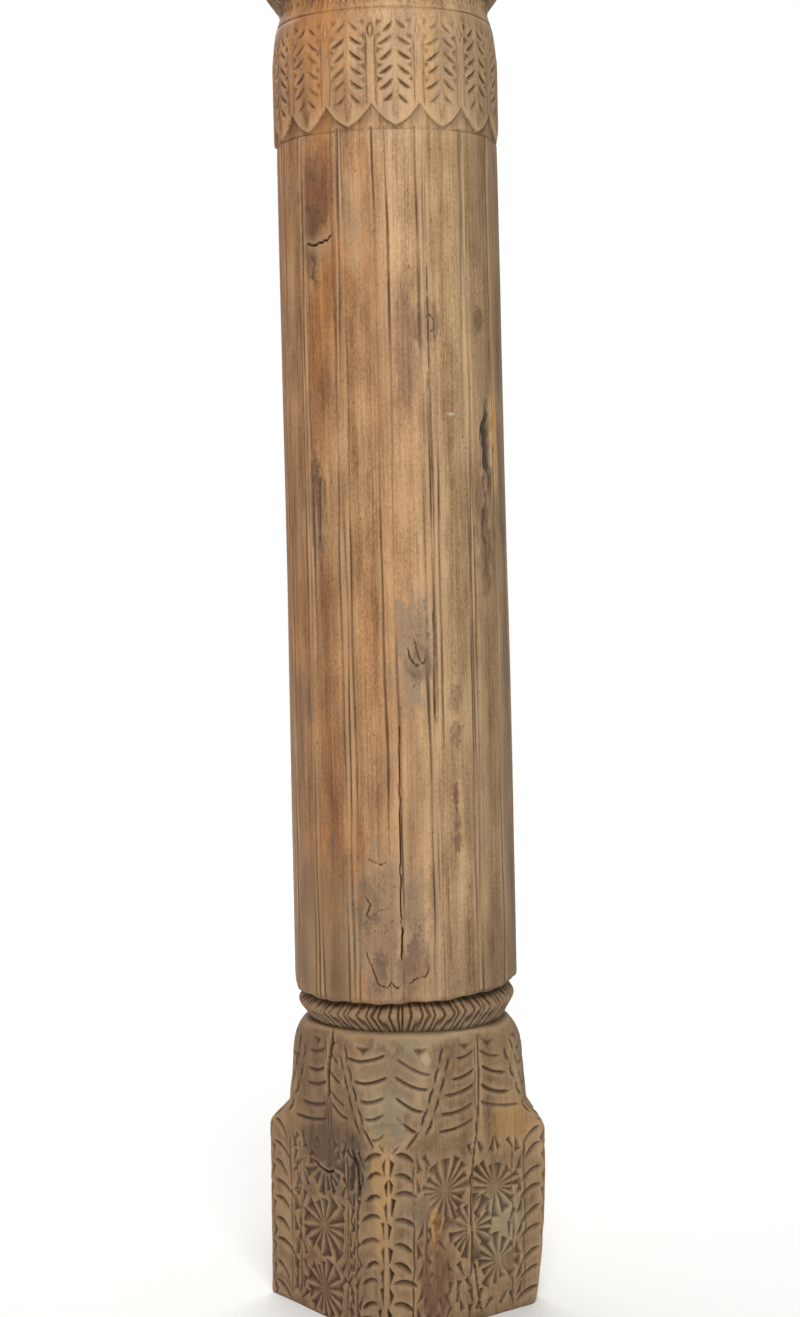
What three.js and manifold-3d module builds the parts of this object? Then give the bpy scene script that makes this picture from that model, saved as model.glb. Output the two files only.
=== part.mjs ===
// Carved wooden pillar, cut from one log: a square foot with chip-carved faces, a notched ring,
// a sixteen-sided shaft, a collar of pointed leaves and a second ring under the flat top.
// Millimetres, +Z up, with the origin at the centre of the underside and the foot's faces square to X and Y.
import * as THREE from 'three';
import { ParametricGeometry } from 'three/addons/geometries/ParametricGeometry.js';
import { mergeVertices } from 'three/addons/utils/BufferGeometryUtils.js';
import Module from 'manifold-3d';

const { PI, abs, acos, atan, cos, exp, floor, max, min, round, sin, sqrt } = Math;
const DEGREE = PI / 180;
const FULL_TURN = 2 * PI;
const QUARTER_TURN = PI / 2;
const WOOD_COLOUR = '#96704a';

// Heights of the levels above the underside
const BLOCK_TOP = 208;
const FLARE_TOP = 251;
const SHOULDER_START = 301;
const FOOT_TOP = 351;
const SHAFT_BOTTOM = 384;
const COLLAR_BOTTOM = 1388;
const COLLAR_SHOULDER = 1480;
const COLLAR_TOP = 1522;
const NECK_LEVEL = 1537;
const PILLAR_HEIGHT = 1600;

// Foot: a square block whose corners are cut back to a drum under the ring
const FOOT_HALF = 120;
const BLOCK_CORNER = 166;
const BLOCK_CORNER_AT_FLOOR = 161;
const DRUM_BOTTOM_RADIUS = 143;
const DRUM_TOP_RADIUS = 139;
const FOOT_NECK_RADIUS = 118;
const FACE_STEPS = 2;
const CORNER_STEPS = 4;
const NARROWEST_FACE = 5 * DEGREE;

// Rings: notches in chevrons that point away from the front, on both sides of a sharp edge
const CHEVRON_FRONT = -130 * DEGREE;
const CHEVRONS = 48;
const CHEVRON_LEAN = 3.6 * DEGREE;
const LEAN_START = 0.8;
const NOTCH_DEPTH = 3.5;
const LOWER_RING = { bottom: FOOT_TOP, edge: 371, top: SHAFT_BOTTOM, inner: 117, outer: 130 };
const UPPER_RING = { bottom: 1547, edge: 1567, top: 1583, inner: 125, outer: 140 };

// Shaft: sixteen flat sides, with a pair of incised lines along every edge
const SHAFT_SIDES = 16;
const SHAFT_TURN = 4.5 * DEGREE;
const SHAFT_BOTTOM_RADIUS = 134.5;
const SHAFT_TOP_RADIUS = 130.5;
const SHAFT_RIM = 4;
const SIDE_DEPTH = 0.6;
const EDGE_BEAD_HALF = 4;
const EDGE_LINE_WIDTH = 3;
const EDGE_LINE_DEPTH = 1.6;

// Collar: pointed leaves that hang over the shaft, each with a midrib and drooping cuts
const LEAVES = 15;
const FIRST_LEAF_GAP = -133.5 * DEGREE;
const COLLAR_RADIUS = 134.5;
const COLLAR_ROLL_RADIUS = 132;
const COLLAR_TOP_RADIUS = 128;
const COLLAR_ROOT = 8;
const LEAF_POINT_HEIGHT = 24;
const LEAF_POINT_BULGE = 3;
// Places across a leaf, from one gap to the next, where its rim is shaped
const LEAF_RIM_PLACES = [0, 0.2, 0.5, 0.8];
const LEAF_CUTS = 5;
const LEAF_CUT_PITCH = 17;
const LEAF_LOWEST_CUT = 1427;
const LEAF_RIB_HALF = 2.5;
const LEAF_CUT_REACH = 14;
const LEAF_CUT_DROOP = 9;

// Neck between the collar and the upper ring, with upright flutes, and the plain drum under the flat top
const NECK_RADIUS = 122;
const NECK_FLUTES = 24;
const NECK_FLUTE_DEPTH = 1.6;
const TOP_RADIUS = 127;

// Carving on the foot
const CUT_WIDTH = 6;
const CUT_DEPTH = 4;
const BAND_CUTS = 8;
const BAND_PITCH = 25;
const BAND_LOWEST = 26;
const BAND_INNER = 13;
const BAND_OUTER = 42;
const BAND_DROOP = 15;
const RIB_CHIPS = 4;
const RIB_CHIP_PITCH = 48;
const RIB_CHIP_LENGTH = 30;
const RIB_CHIP_WIDTH = 5;
const RIB_CHIP_OFFSET = 8.5;
const ROSETTE_RADIUS = 35;
const ROSETTE_HUB = 5;
const ROSETTE_PETALS = 10;
const PETAL_WIDTH = 8;
// Places of the rosettes on a face: distance from its middle line, and height
const ROSETTES_ON_X_FACES = [[-9, 109], [-8, 37], [-7, 181]];
const ROSETTES_ON_Y_FACES = [[-38, 165], [38, 158], [0, 105], [41, 60]];

// Leaves on the drum: a tongue hangs over each corner and a triangle stands on each face
const TONGUE_TOP = 330;
const TONGUE_TIP = 224;
const TONGUE_TOP_HALF = 26 * DEGREE;
const TONGUE_TIP_HALF = 8 * DEGREE;
const DRUM_CUTS = 4;
const DRUM_CUT_PITCH = 22;
const DRUM_CUT_DROOP = 10;
const DRUM_TOP_CUT = 324;
const DRUM_CUT_GAP = 2 * DEGREE;
const DRUM_LINE_WIDTH = 4;

// Drying splits: angle, lower end, upper end, width and depth
const SHAFT_SPLIT = { angle: -128.5 * DEGREE, low: 398, high: 705, width: 4, depth: 14 };
const FOOT_SPLIT = { angle: -88 * DEGREE, low: 4, high: 322, width: 4, depth: 12 };

const wasm = await Module();
wasm.setup();

// Makes a closed three.js geometry a solid that can be joined and cut
function solidFrom(geometry) {
  geometry.deleteAttribute('normal');
  geometry.deleteAttribute('uv');
  const merged = mergeVertices(geometry);
  const corners = Array.from(merged.index.array);
  const triangles = [];
  for (let i = 0; i < corners.length; i += 3) {
    const triangle = corners.slice(i, i + 3);
    if (new Set(triangle).size === 3) {
      triangles.push(...triangle);
    }
  }
  return new wasm.Manifold(new wasm.Mesh({
    numProp: 3,
    vertProperties: merged.attributes.position.array,
    triVerts: new Uint32Array(triangles),
  }));
}

// Skins rows of points that go once round the axis, and closes the first and last row with flat ends
function skinRows(rowCount, columnCount, pointAt) {
  const surface = (u, v, target) => {
    const column = round(u * columnCount) % columnCount;
    const row = round(v * (rowCount + 1)) - 1;
    const wall = pointAt(min(max(row, 0), rowCount - 1), column);
    if (row < 0 || row === rowCount) {
      target.set(0, 0, wall.z);
    } else {
      target.copy(wall);
    }
  };
  return solidFrom(new ParametricGeometry(surface, columnCount, rowCount + 1));
}

function onAxisRing(angle, radius, height) {
  return new THREE.Vector3(radius * cos(angle), radius * sin(angle), height);
}

// Radius of the foot's corners: a block that narrows to the floor, an S-shaped flare,
// a drum and a round shoulder
function footCornerRadius(height) {
  if (height < BLOCK_TOP) {
    const drop = 1 - height / BLOCK_TOP;
    return BLOCK_CORNER - (BLOCK_CORNER - BLOCK_CORNER_AT_FLOOR) * drop * drop;
  }
  if (height < FLARE_TOP) {
    const rise = (height - BLOCK_TOP) / (FLARE_TOP - BLOCK_TOP);
    return THREE.MathUtils.lerp(DRUM_BOTTOM_RADIUS, BLOCK_CORNER, (1 + cos(PI * rise)) / 2);
  }
  if (height < SHOULDER_START) {
    return THREE.MathUtils.mapLinear(height, FLARE_TOP, SHOULDER_START, DRUM_BOTTOM_RADIUS, DRUM_TOP_RADIUS);
  }
  const rise = min((height - SHOULDER_START) / (FOOT_TOP - SHOULDER_START), 1);
  return FOOT_NECK_RADIUS + (DRUM_TOP_RADIUS - FOOT_NECK_RADIUS) * sqrt(1 - rise * rise);
}

// Angle of a place from the middle of the nearest face
function angleOnFace(angle) {
  return angle - QUARTER_TURN * round(angle / QUARTER_TURN);
}

function footPoint(angle, height) {
  const radius = min(FOOT_HALF / cos(angleOnFace(angle)), footCornerRadius(height));
  return onAxisRing(angle, radius, height);
}

function steps(from, to, count) {
  return Array.from({ length: count }, (_, i) => THREE.MathUtils.lerp(from, to, i / count));
}

function makeFoot() {
  const heights = [
    ...steps(0, BLOCK_TOP, 2),
    ...steps(BLOCK_TOP, FLARE_TOP, 4),
    FLARE_TOP,
    ...steps(SHOULDER_START, FOOT_TOP, 5),
    FOOT_TOP,
  ];
  const stepsPerFace = FACE_STEPS + CORNER_STEPS;
  return skinRows(heights.length, 4 * stepsPerFace, (row, column) => {
    const corner = footCornerRadius(heights[row]);
    const faceHalf = max(acos(min(FOOT_HALF / corner, 1)), NARROWEST_FACE);
    const place = column % stepsPerFace;
    const faceMiddle = QUARTER_TURN * floor(column / stepsPerFace);
    const onFace = -faceHalf + 2 * faceHalf * place / FACE_STEPS;
    const onCorner = faceHalf + (QUARTER_TURN - 2 * faceHalf) * (place - FACE_STEPS) / CORNER_STEPS;
    const angle = faceMiddle + (place <= FACE_STEPS ? onFace : onCorner);
    return footPoint(angle, heights[row]);
  });
}

// Leans a ring's column towards the front above and below the ring's edge, less so close to the front
function leanOfChevron(angle) {
  const away = angle - CHEVRON_FRONT;
  const distance = min(abs(away), FULL_TURN - abs(away));
  const side = away < 0 || away > PI ? -1 : 1;
  return -side * CHEVRON_LEAN * (1 - exp(-LEAN_START * distance / CHEVRON_LEAN));
}

// One notched ring: [height, radius, notch depth, lean] in each row, with ridges and notches by turns
function makeRing(ring) {
  const rows = [
    [ring.bottom, ring.inner, NOTCH_DEPTH / 2, 1],
    [ring.edge, ring.outer, NOTCH_DEPTH, 0],
    [ring.top, ring.inner, NOTCH_DEPTH / 2, 1],
  ];
  return skinRows(rows.length, 2 * CHEVRONS, (row, column) => {
    const [height, radius, notch, lean] = rows[row];
    const angle = CHEVRON_FRONT + FULL_TURN * (column + 0.5) / (2 * CHEVRONS);
    const depth = column % 2 === 0 ? notch : 0;
    return onAxisRing(angle + lean * leanOfChevron(angle), radius - depth, height);
  });
}

// Shaft: one side is a bead on the edge, an incised line on each side of it, and a flat
function makeShaft() {
  const sideAngle = FULL_TURN / SHAFT_SIDES;
  const bead = EDGE_BEAD_HALF / SHAFT_BOTTOM_RADIUS;
  const line = EDGE_LINE_WIDTH / SHAFT_BOTTOM_RADIUS;
  // Angle from the edge, and depth below the shaft's radius
  const section = [
    [-bead - line, SIDE_DEPTH],
    [-bead - line / 2, EDGE_LINE_DEPTH],
    [-bead, 0],
    [bead, 0],
    [bead + line / 2, EDGE_LINE_DEPTH],
    [bead + line, SIDE_DEPTH],
  ];
  const heights = [SHAFT_BOTTOM, SHAFT_BOTTOM + SHAFT_RIM, COLLAR_SHOULDER];
  const radii = [SHAFT_BOTTOM_RADIUS - SHAFT_RIM, SHAFT_BOTTOM_RADIUS, SHAFT_TOP_RADIUS];
  return skinRows(heights.length, SHAFT_SIDES * section.length, (row, column) => {
    const [offset, depth] = section[column % section.length];
    const angle = SHAFT_TURN + sideAngle * floor(column / section.length) + offset;
    return onAxisRing(angle, radii[row] - depth, heights[row]);
  });
}

// Collar: its lower rim runs down to the point of every leaf and up into the gap between two leaves
function makeCollar() {
  const leafAngle = FULL_TURN / LEAVES;
  const inside = SHAFT_TOP_RADIUS - COLLAR_ROOT;
  const rows = [
    [COLLAR_BOTTOM, inside],
    [COLLAR_BOTTOM, COLLAR_RADIUS],
    [COLLAR_SHOULDER, COLLAR_RADIUS],
    [(COLLAR_SHOULDER + COLLAR_TOP) / 2, COLLAR_ROLL_RADIUS],
    [COLLAR_TOP, COLLAR_TOP_RADIUS],
  ];
  const places = LEAF_RIM_PLACES.length;
  return skinRows(rows.length, LEAVES * places, (row, column) => {
    const [height, radius] = rows[row];
    const acrossLeaf = LEAF_RIM_PLACES[column % places];
    const fromPoint = abs(2 * acrossLeaf - 1);
    const rimRise = LEAF_POINT_HEIGHT * fromPoint - LEAF_POINT_BULGE * sin(PI * fromPoint);
    const angle = FIRST_LEAF_GAP + leafAngle * (floor(column / places) + acrossLeaf);
    return onAxisRing(angle, radius, row < 2 ? height + rimRise : height);
  });
}

function collarPoint(angle, height) {
  return onAxisRing(angle, COLLAR_RADIUS, height);
}

function shaftPoint(angle, height) {
  return onAxisRing(angle, SHAFT_BOTTOM_RADIUS, height);
}

// Neck with upright flutes, and the flat top above the upper ring
function makeNeck() {
  const rows = [
    [COLLAR_TOP, COLLAR_TOP_RADIUS],
    [NECK_LEVEL, NECK_RADIUS],
    [UPPER_RING.bottom, UPPER_RING.inner],
  ];
  return skinRows(rows.length, 2 * NECK_FLUTES, (row, column) => {
    const [height, radius] = rows[row];
    const depth = column % 2 === 0 ? NECK_FLUTE_DEPTH : 0;
    return onAxisRing(FULL_TURN * column / (2 * NECK_FLUTES), radius - depth, height);
  });
}

function makeTop() {
  const thickness = PILLAR_HEIGHT - UPPER_RING.top;
  const top = new THREE.CylinderGeometry(TOP_RADIUS, TOP_RADIUS, thickness, 2 * NECK_FLUTES);
  top.rotateX(QUARTER_TURN);
  top.translate(0, 0, PILLAR_HEIGHT - thickness / 2);
  return solidFrom(top);
}

// One carver's cut: a pointed chip between two places on a surface, each given as [angle, height]
function chip(surface, from, to, width = CUT_WIDTH, depth = CUT_DEPTH) {
  const start = surface(...from);
  const end = surface(...to);
  const angle = (from[0] + to[0]) / 2;
  const height = (from[1] + to[1]) / 2;
  const turned = surface(angle + DEGREE, height).sub(surface(angle - DEGREE, height));
  const raised = surface(angle, height + 1).sub(surface(angle, height - 1));
  const outward = turned.cross(raised).normalize();
  const along = end.clone().sub(start).divideScalar(2);
  const across = outward.clone().cross(along).setLength(width / 2);
  const centre = start.add(end).divideScalar(2);
  const place = new THREE.Matrix4();
  place.makeBasis(along, across, outward.multiplyScalar(depth)).setPosition(centre);
  return solidFrom(new THREE.OctahedronGeometry(1).applyMatrix4(place));
}

// Angle of a place on a flat face, from its distance to the face's middle line
function faceAngle(face, across) {
  return face * QUARTER_TURN + atan(across / FOOT_HALF);
}

// Drooping cuts beside both corners of a face, and chips that leave spindles along the corners
function cutCornerBands(face) {
  const cuts = [];
  for (const side of [-1, 1]) {
    const at = (fromCorner) => faceAngle(face, side * (FOOT_HALF - fromCorner));
    for (let i = 0; i < BAND_CUTS; i += 1) {
      const height = BAND_LOWEST + i * BAND_PITCH;
      cuts.push(chip(footPoint, [at(BAND_INNER), height], [at(BAND_OUTER), height - BAND_DROOP]));
    }
    for (let i = 0; i < RIB_CHIPS; i += 1) {
      const low = BAND_LOWEST + i * RIB_CHIP_PITCH;
      const rib = at(RIB_CHIP_OFFSET);
      cuts.push(chip(footPoint, [rib, low], [rib, low + RIB_CHIP_LENGTH], RIB_CHIP_WIDTH));
    }
  }
  return cuts;
}

// Rosette: long chips like petals round a small hub
function cutRosette(face, [middle, height]) {
  const petal = (i) => {
    const turn = FULL_TURN * i / ROSETTE_PETALS;
    const at = (reach) => [faceAngle(face, middle + reach * cos(turn)), height + reach * sin(turn)];
    return chip(footPoint, at(ROSETTE_HUB), at(ROSETTE_RADIUS), PETAL_WIDTH);
  };
  return Array.from({ length: ROSETTE_PETALS }, (_, i) => petal(i));
}

// Half the angle of a corner tongue at a height
function tongueHalf(height) {
  return THREE.MathUtils.mapLinear(height, TONGUE_TIP, TONGUE_TOP, TONGUE_TIP_HALF, TONGUE_TOP_HALF);
}

// Tongue on one corner and triangle on the next face: borders, middle lines and drooping cuts
function cutDrumLeaves(face) {
  const corner = (face + 0.5) * QUARTER_TURN;
  const cuts = [];
  const middleLow = [face * QUARTER_TURN, TONGUE_TIP];
  cuts.push(chip(footPoint, middleLow, [face * QUARTER_TURN, TONGUE_TOP], DRUM_LINE_WIDTH));
  for (const side of [-1, 1]) {
    const borderLow = [corner + side * TONGUE_TIP_HALF, TONGUE_TIP];
    const borderMiddleHeight = (TONGUE_TIP + TONGUE_TOP) / 2;
    const borderMiddle = [corner + side * tongueHalf(borderMiddleHeight), borderMiddleHeight];
    const borderHigh = [corner + side * TONGUE_TOP_HALF, TONGUE_TOP];
    cuts.push(chip(footPoint, borderLow, borderMiddle, DRUM_LINE_WIDTH));
    cuts.push(chip(footPoint, borderMiddle, borderHigh, DRUM_LINE_WIDTH));
    for (let i = 0; i < DRUM_CUTS; i += 1) {
      const high = DRUM_TOP_CUT - i * DRUM_CUT_PITCH;
      const low = high - DRUM_CUT_DROOP;
      const edge = tongueHalf(low);
      cuts.push(chip(
        footPoint,
        [corner + side * DRUM_CUT_GAP, high],
        [corner + side * (edge - DRUM_CUT_GAP), low],
      ));
      cuts.push(chip(
        footPoint,
        [face * QUARTER_TURN + side * DRUM_CUT_GAP, high],
        [face * QUARTER_TURN + side * (QUARTER_TURN / 2 - edge - DRUM_CUT_GAP), low],
      ));
    }
  }
  return cuts;
}

// One leaf of the collar: drooping cuts on both sides of its midrib
function cutCollarLeaf(leaf) {
  const midrib = FIRST_LEAF_GAP + FULL_TURN * (leaf + 0.5) / LEAVES;
  const cuts = [];
  for (const side of [-1, 1]) {
    for (let i = 0; i < LEAF_CUTS; i += 1) {
      const height = LEAF_LOWEST_CUT + i * LEAF_CUT_PITCH;
      const near = midrib + side * LEAF_RIB_HALF / COLLAR_RADIUS;
      const far = midrib + side * (LEAF_RIB_HALF + LEAF_CUT_REACH) / COLLAR_RADIUS;
      cuts.push(chip(collarPoint, [near, height], [far, height - LEAF_CUT_DROOP]));
    }
  }
  return cuts;
}

function cutSplit(surface, { angle, low, high, width, depth }) {
  return chip(surface, [angle, low], [angle, high], width, depth);
}

function meshFrom(solid, name) {
  const { numProp, vertProperties, triVerts } = solid.getMesh();
  const geometry = new THREE.BufferGeometry();
  geometry.setAttribute('position', new THREE.BufferAttribute(new Float32Array(vertProperties), numProp));
  geometry.setIndex(new THREE.BufferAttribute(new Uint32Array(triVerts), 1));
  geometry.computeVertexNormals();
  const wood = new THREE.MeshStandardMaterial({ color: WOOD_COLOUR, roughness: 0.75, metalness: 0 });
  const mesh = new THREE.Mesh(geometry, wood);
  mesh.name = name;
  return mesh;
}

const FACES = [0, 1, 2, 3];
const log = wasm.Manifold.union([
  makeFoot(),
  makeRing(LOWER_RING),
  makeShaft(),
  makeCollar(),
  makeNeck(),
  makeRing(UPPER_RING),
  makeTop(),
]);
const cuts = [
  ...FACES.flatMap(cutCornerBands),
  ...FACES.flatMap(cutDrumLeaves),
  ...[0, 2].flatMap((face) => ROSETTES_ON_X_FACES.flatMap((place) => cutRosette(face, place))),
  ...[1, 3].flatMap((face) => ROSETTES_ON_Y_FACES.flatMap((place) => cutRosette(face, place))),
  ...Array.from({ length: LEAVES }, (_, leaf) => leaf).flatMap(cutCollarLeaf),
  cutSplit(shaftPoint, SHAFT_SPLIT),
  cutSplit(footPoint, FOOT_SPLIT),
];

const pillar = new THREE.Group();
pillar.add(meshFrom(wasm.Manifold.difference([log, ...cuts]), 'pillar'));

export default pillar;
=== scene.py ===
"""Carved wooden pillar: the fine carving of the log, its aged wood and the studio that it stands in.

Lengths are metres and +Z is up. The pillar stands on the origin with the faces of its foot square to X and Y.
"""

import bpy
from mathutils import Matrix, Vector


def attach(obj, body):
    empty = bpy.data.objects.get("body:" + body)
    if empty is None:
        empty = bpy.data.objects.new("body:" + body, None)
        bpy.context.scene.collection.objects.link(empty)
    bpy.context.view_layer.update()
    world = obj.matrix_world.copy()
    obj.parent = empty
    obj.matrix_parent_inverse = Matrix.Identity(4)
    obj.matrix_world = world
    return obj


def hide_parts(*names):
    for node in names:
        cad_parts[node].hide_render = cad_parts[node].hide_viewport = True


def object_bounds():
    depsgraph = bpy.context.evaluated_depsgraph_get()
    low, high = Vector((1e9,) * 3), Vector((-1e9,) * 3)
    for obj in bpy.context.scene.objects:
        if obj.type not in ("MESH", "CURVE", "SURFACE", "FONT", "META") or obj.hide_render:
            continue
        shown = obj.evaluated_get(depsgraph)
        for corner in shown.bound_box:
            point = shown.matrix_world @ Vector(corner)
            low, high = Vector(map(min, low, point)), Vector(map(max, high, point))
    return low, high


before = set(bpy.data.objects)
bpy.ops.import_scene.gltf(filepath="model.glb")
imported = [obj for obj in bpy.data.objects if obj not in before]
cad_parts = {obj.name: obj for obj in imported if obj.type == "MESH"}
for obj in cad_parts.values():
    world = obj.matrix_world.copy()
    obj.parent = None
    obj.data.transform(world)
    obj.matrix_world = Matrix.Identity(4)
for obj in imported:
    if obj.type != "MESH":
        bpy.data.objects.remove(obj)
CAD_BOX = [list(corner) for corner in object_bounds()]

import math

import bpy
import numpy as np
from bpy.props import FloatProperty, FloatVectorProperty, IntProperty, PointerProperty
from mathutils import Matrix, Vector

bl_info = {
    "name": "Carved pillar",
    "version": (1, 0, 0),
    "blender": (4, 5, 0),
    "location": "View3D > Sidebar > Pillar",
    "description": "Models a pillar that is carved from one log, and the studio that it stands in",
    "category": "Object",
}

MM = 0.001
DEGREE = math.pi / 180
FULL_TURN = 2 * math.pi
QUARTER_TURN = math.pi / 2
LOG_NODE = "pillar"
LOG_PIECE = "carved_pillar"
CARVER_SEED = 41

# Mesh of the log: columns and levels of the blank, how often they are halved, and the finished triangles
BLANK_COLUMNS = 80
HALVINGS = 3
FINISHED_TRIANGLES = 194000
SMOOTH_ANGLE = 38 * DEGREE
CORNER_CROWDING = 0.25
LEDGE_HALF = 0.4 * MM

# The two faces that meet at the front corner, counted round from +X
LEFT_FACE, RIGHT_FACE = 2, 3

# The log grew with a slight sweep towards one side
SWEEP = 4.5 * MM
SWEEP_HEIGHT = 450 * MM
SWEEP_ANGLE = -36.5 * DEGREE

# Radius at which places on the shaft are measured
SHAFT_RADIUS = 134 * MM

# Lower edge of the shaft, which was cut at a slant, and the shoulder of the foot under it
EDGE_RISE = 7.5 * MM
EDGE_TILT = 5.5 * MM
EDGE_TILT_ANGLE = 5 * DEGREE
EDGE_FADE = 90 * MM
SHOULDER_DROP = 5 * MM
SHOULDER_FADE = 290 * MM

# Corners of the foot: taper to the floor, more of it on the right, and the fuller left corner
FLOOR_TAPER = 4 * MM
RIGHT_TAPER = 7 * MM
LEFT_SWELL = 5 * MM
LEFT_FACE_SWELL = 1.4 * MM
FLOOR_ROUNDING = 1.2 * MM

# Shaft: hollow of its sides and rounding of its lower rim
SIDE_DEPTH = 1.7 * MM
RIM_ROUNDING = 3.5 * MM

# Profile of the collar's shoulder and of the neck: heights and radii in mm
COLLAR_SHOULDER = [(1487, 132.2), (1501, 130.8), (1516, 128.6)]
COLLAR_TOP_RADIUS = 127 * MM
NECK = [(1530, 124.2), (1537, 122.4)]

# Cuts of the collar's leaves: height of the uppermost, distance and number
LEAF_CUT_TOP = 1506 * MM
LEAF_CUT_PITCH = 16.2 * MM
LEAF_CUTS = 6

# Frame of the rosettes on the foot: distance of its two lines and of the chips between them
FILLET_GAP = 19 * MM
FILLET_PITCH = 25 * MM

# Chisel strokes round the neck
NECK_STROKES = 96

# Studio: floor, the large front light and the light over the floor behind
FLOOR_RADIUS = 4.2
KEY_TURN = 6 * DEGREE
KEY_DISTANCE = 3
KEY_HEIGHT = 2.9
KEY_SIZE = 1.6
BACK_DISTANCE = 3.4
BACK_HEIGHT = 3.2
BACK_SIZE = 5

# Incised lines beside the sixteen edges of the shaft, as distances from the edge, in turn round the log
EDGE_LINES = [
    (-7, 0, 7),
    (-7, 0.5, 7.5),
    (-7.5, 7.5),
    (-9, -1.6, 1.6, 9),
    (-4, 0, 4),
    (-5, 1),
]
FIRST_EDGE_LINES = 8

# Rosettes on the faces of the foot: distance from the face's middle line, height and radius
ROSETTES_ON_X_FACES = [(-9, 109, 39), (-7, 34, 35), (-7, 184, 36)]
ROSETTES_ON_Y_FACES = [(-37, 164, 38), (37, 155, 36), (2, 112, 37), (41, 66, 31)]

# How far the cuts along a corner drift from it towards the floor, in mm, by face and side
BAND_DRIFT = {(LEFT_FACE, 1): 13, (RIGHT_FACE, -1): -5}

# Hand-drawn unevenness of the corner tongues: extra half width by corner and side
TONGUE_STRETCH = {(1, 1): -5 * DEGREE, (3, -1): -10 * DEGREE}
TRIANGLE_LEAN = {LEFT_FACE: 2 * DEGREE, RIGHT_FACE: 5.6 * DEGREE}

# Drying cracks: places as (angle in degrees, height in mm), then width and depth in mm
CRACKS = [
    ([(-127.2, 712), (-127.8, 640), (-128.1, 566), (-128.4, 520), (-128.6, 478)], 1.5, 5),
    ([(-128.6, 480), (-127.9, 474), (-128.2, 456), (-128.6, 436)], 2.2, 6),
    ([(-174.5, 1264), (-170, 1261), (-166.8, 1260.5), (-162, 1263), (-158.8, 1265), (-155, 1273)], 2.6, 6),
    ([(-83.5, 349), (-83.5, 300), (-84, 250), (-84.7, 227), (-88.3, 186), (-89, 116), (-85.2, 44), (-81, 2)],
     3, 10),
    ([(-173, 352), (-173.2, 334), (-176.2, 312), (-177.5, 290), (-178, 262)], 7.5, 9),
    ([(-195, 190), (-191, 181), (-185, 176), (-180, 175), (-174, 180), (-169, 188)], 4, 5),
    ([(-178, 176), (-177, 162), (-175.5, 149)], 4, 4.5),
    ([(-158, 205), (-155, 190), (-154, 172), (-152, 158)], 5, 6),
    ([(-147.4, 455), (-146, 440), (-143, 424), (-140.5, 408), (-136, 404), (-134, 410), (-131, 403),
      (-128, 411)], 2, 3),
    ([(-128, 410), (-124, 408), (-121, 414), (-117, 415), (-115.3, 422), (-115, 434)], 2, 3),
    ([(-147, 514), (-144, 502), (-146, 490), (-142, 482)], 2.2, 2.5),
    ([(-146, 557), (-141, 551), (-138, 549), (-134, 553)], 2, 2),
    ([(-149, 476), (-144, 488), (-139, 496), (-133, 500)], 2, 1.4),
    ([(-122.5, 802), (-121, 786), (-118, 777), (-114, 780), (-112, 792)], 2.4, 3),
    ([(-119, 810), (-117, 792), (-115.6, 777)], 2, 2.5),
    ([(-109, 842), (-108.4, 806), (-109, 776)], 2.4, 3),
    ([(-108.6, 752), (-109, 730), (-108.4, 706)], 2.4, 3),
    ([(-73, 1000), (-74.5, 990), (-72.6, 960), (-73.8, 930), (-71.8, 905)], 2.4, 4),
    ([(-75, 958), (-73, 944), (-76, 930), (-74, 915)], 2.2, 3),
    ([(-108, 1240), (-107.6, 1190), (-107.8, 1140), (-108.2, 1090)], 1.8, 2),
    ([(-110, 1172), (-107, 1176), (-104, 1170), (-105, 1158), (-109, 1156)], 2, 2),
    ([(-167.6, 1000), (-168.4, 972), (-168.2, 950), (-168.6, 910)], 2.6, 3.5),
    ([(-171, 1250), (-168, 1240), (-170, 1225), (-167, 1212)], 2.4, 2.5),
]

# Hollows: angle in degrees, height, half width, half height and depth in mm
HOLLOWS = [
    (-70, 1032, 15, 54, 8),
    (-73, 931, 11, 46, 2.5),
    (-114.5, 789, 20, 48, 1.2),
    (-131.5, 470, 42, 70, 1.1),
    (-169, 962, 9, 44, 1.5),
    (-135, 248, 24, 30, 1),
    (-168, 1310, 18, 46, 0.8),
]

# Damage on the foot: face, distance from its middle line, height, half width, half height and depth in mm
FOOT_HOLLOWS = [
    (RIGHT_FACE, -50, 54, 31, 92, 3),
    (RIGHT_FACE, -48, 124, 10, 22, 2.5),
    (LEFT_FACE, 55, 186, 20, 32, 7),
    (LEFT_FACE, -8, 201, 42, 42, 1.8),
    (RIGHT_FACE, -72, 148, 22, 26, 1),
    (RIGHT_FACE, 58, 62, 16, 18, 1.5),
]


def linear_colour(code):
    """Linear colour of an sRGB hex value."""
    channels = [int(code[i:i + 2], 16) / 255 for i in (1, 3, 5)]
    return [c / 12.92 if c <= 0.04045 else ((c + 0.055) / 1.055) ** 2.4 for c in channels]


def length(name, description, millimetres):
    """A length that a user can change, given here in millimetres."""
    return FloatProperty(
        name=name, description=description, default=millimetres * MM, unit="LENGTH", precision=4)


def angle_of(name, description, degrees):
    """An angle that a user can change, given here in degrees."""
    return FloatProperty(name=name, description=description, default=degrees * DEGREE, subtype="ANGLE")


def colour(name, description, code):
    """A colour that a user can change, given here as sRGB hex."""
    return FloatVectorProperty(
        name=name, description=description, default=linear_colour(code), subtype="COLOR", size=3,
        min=0, max=1)


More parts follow.
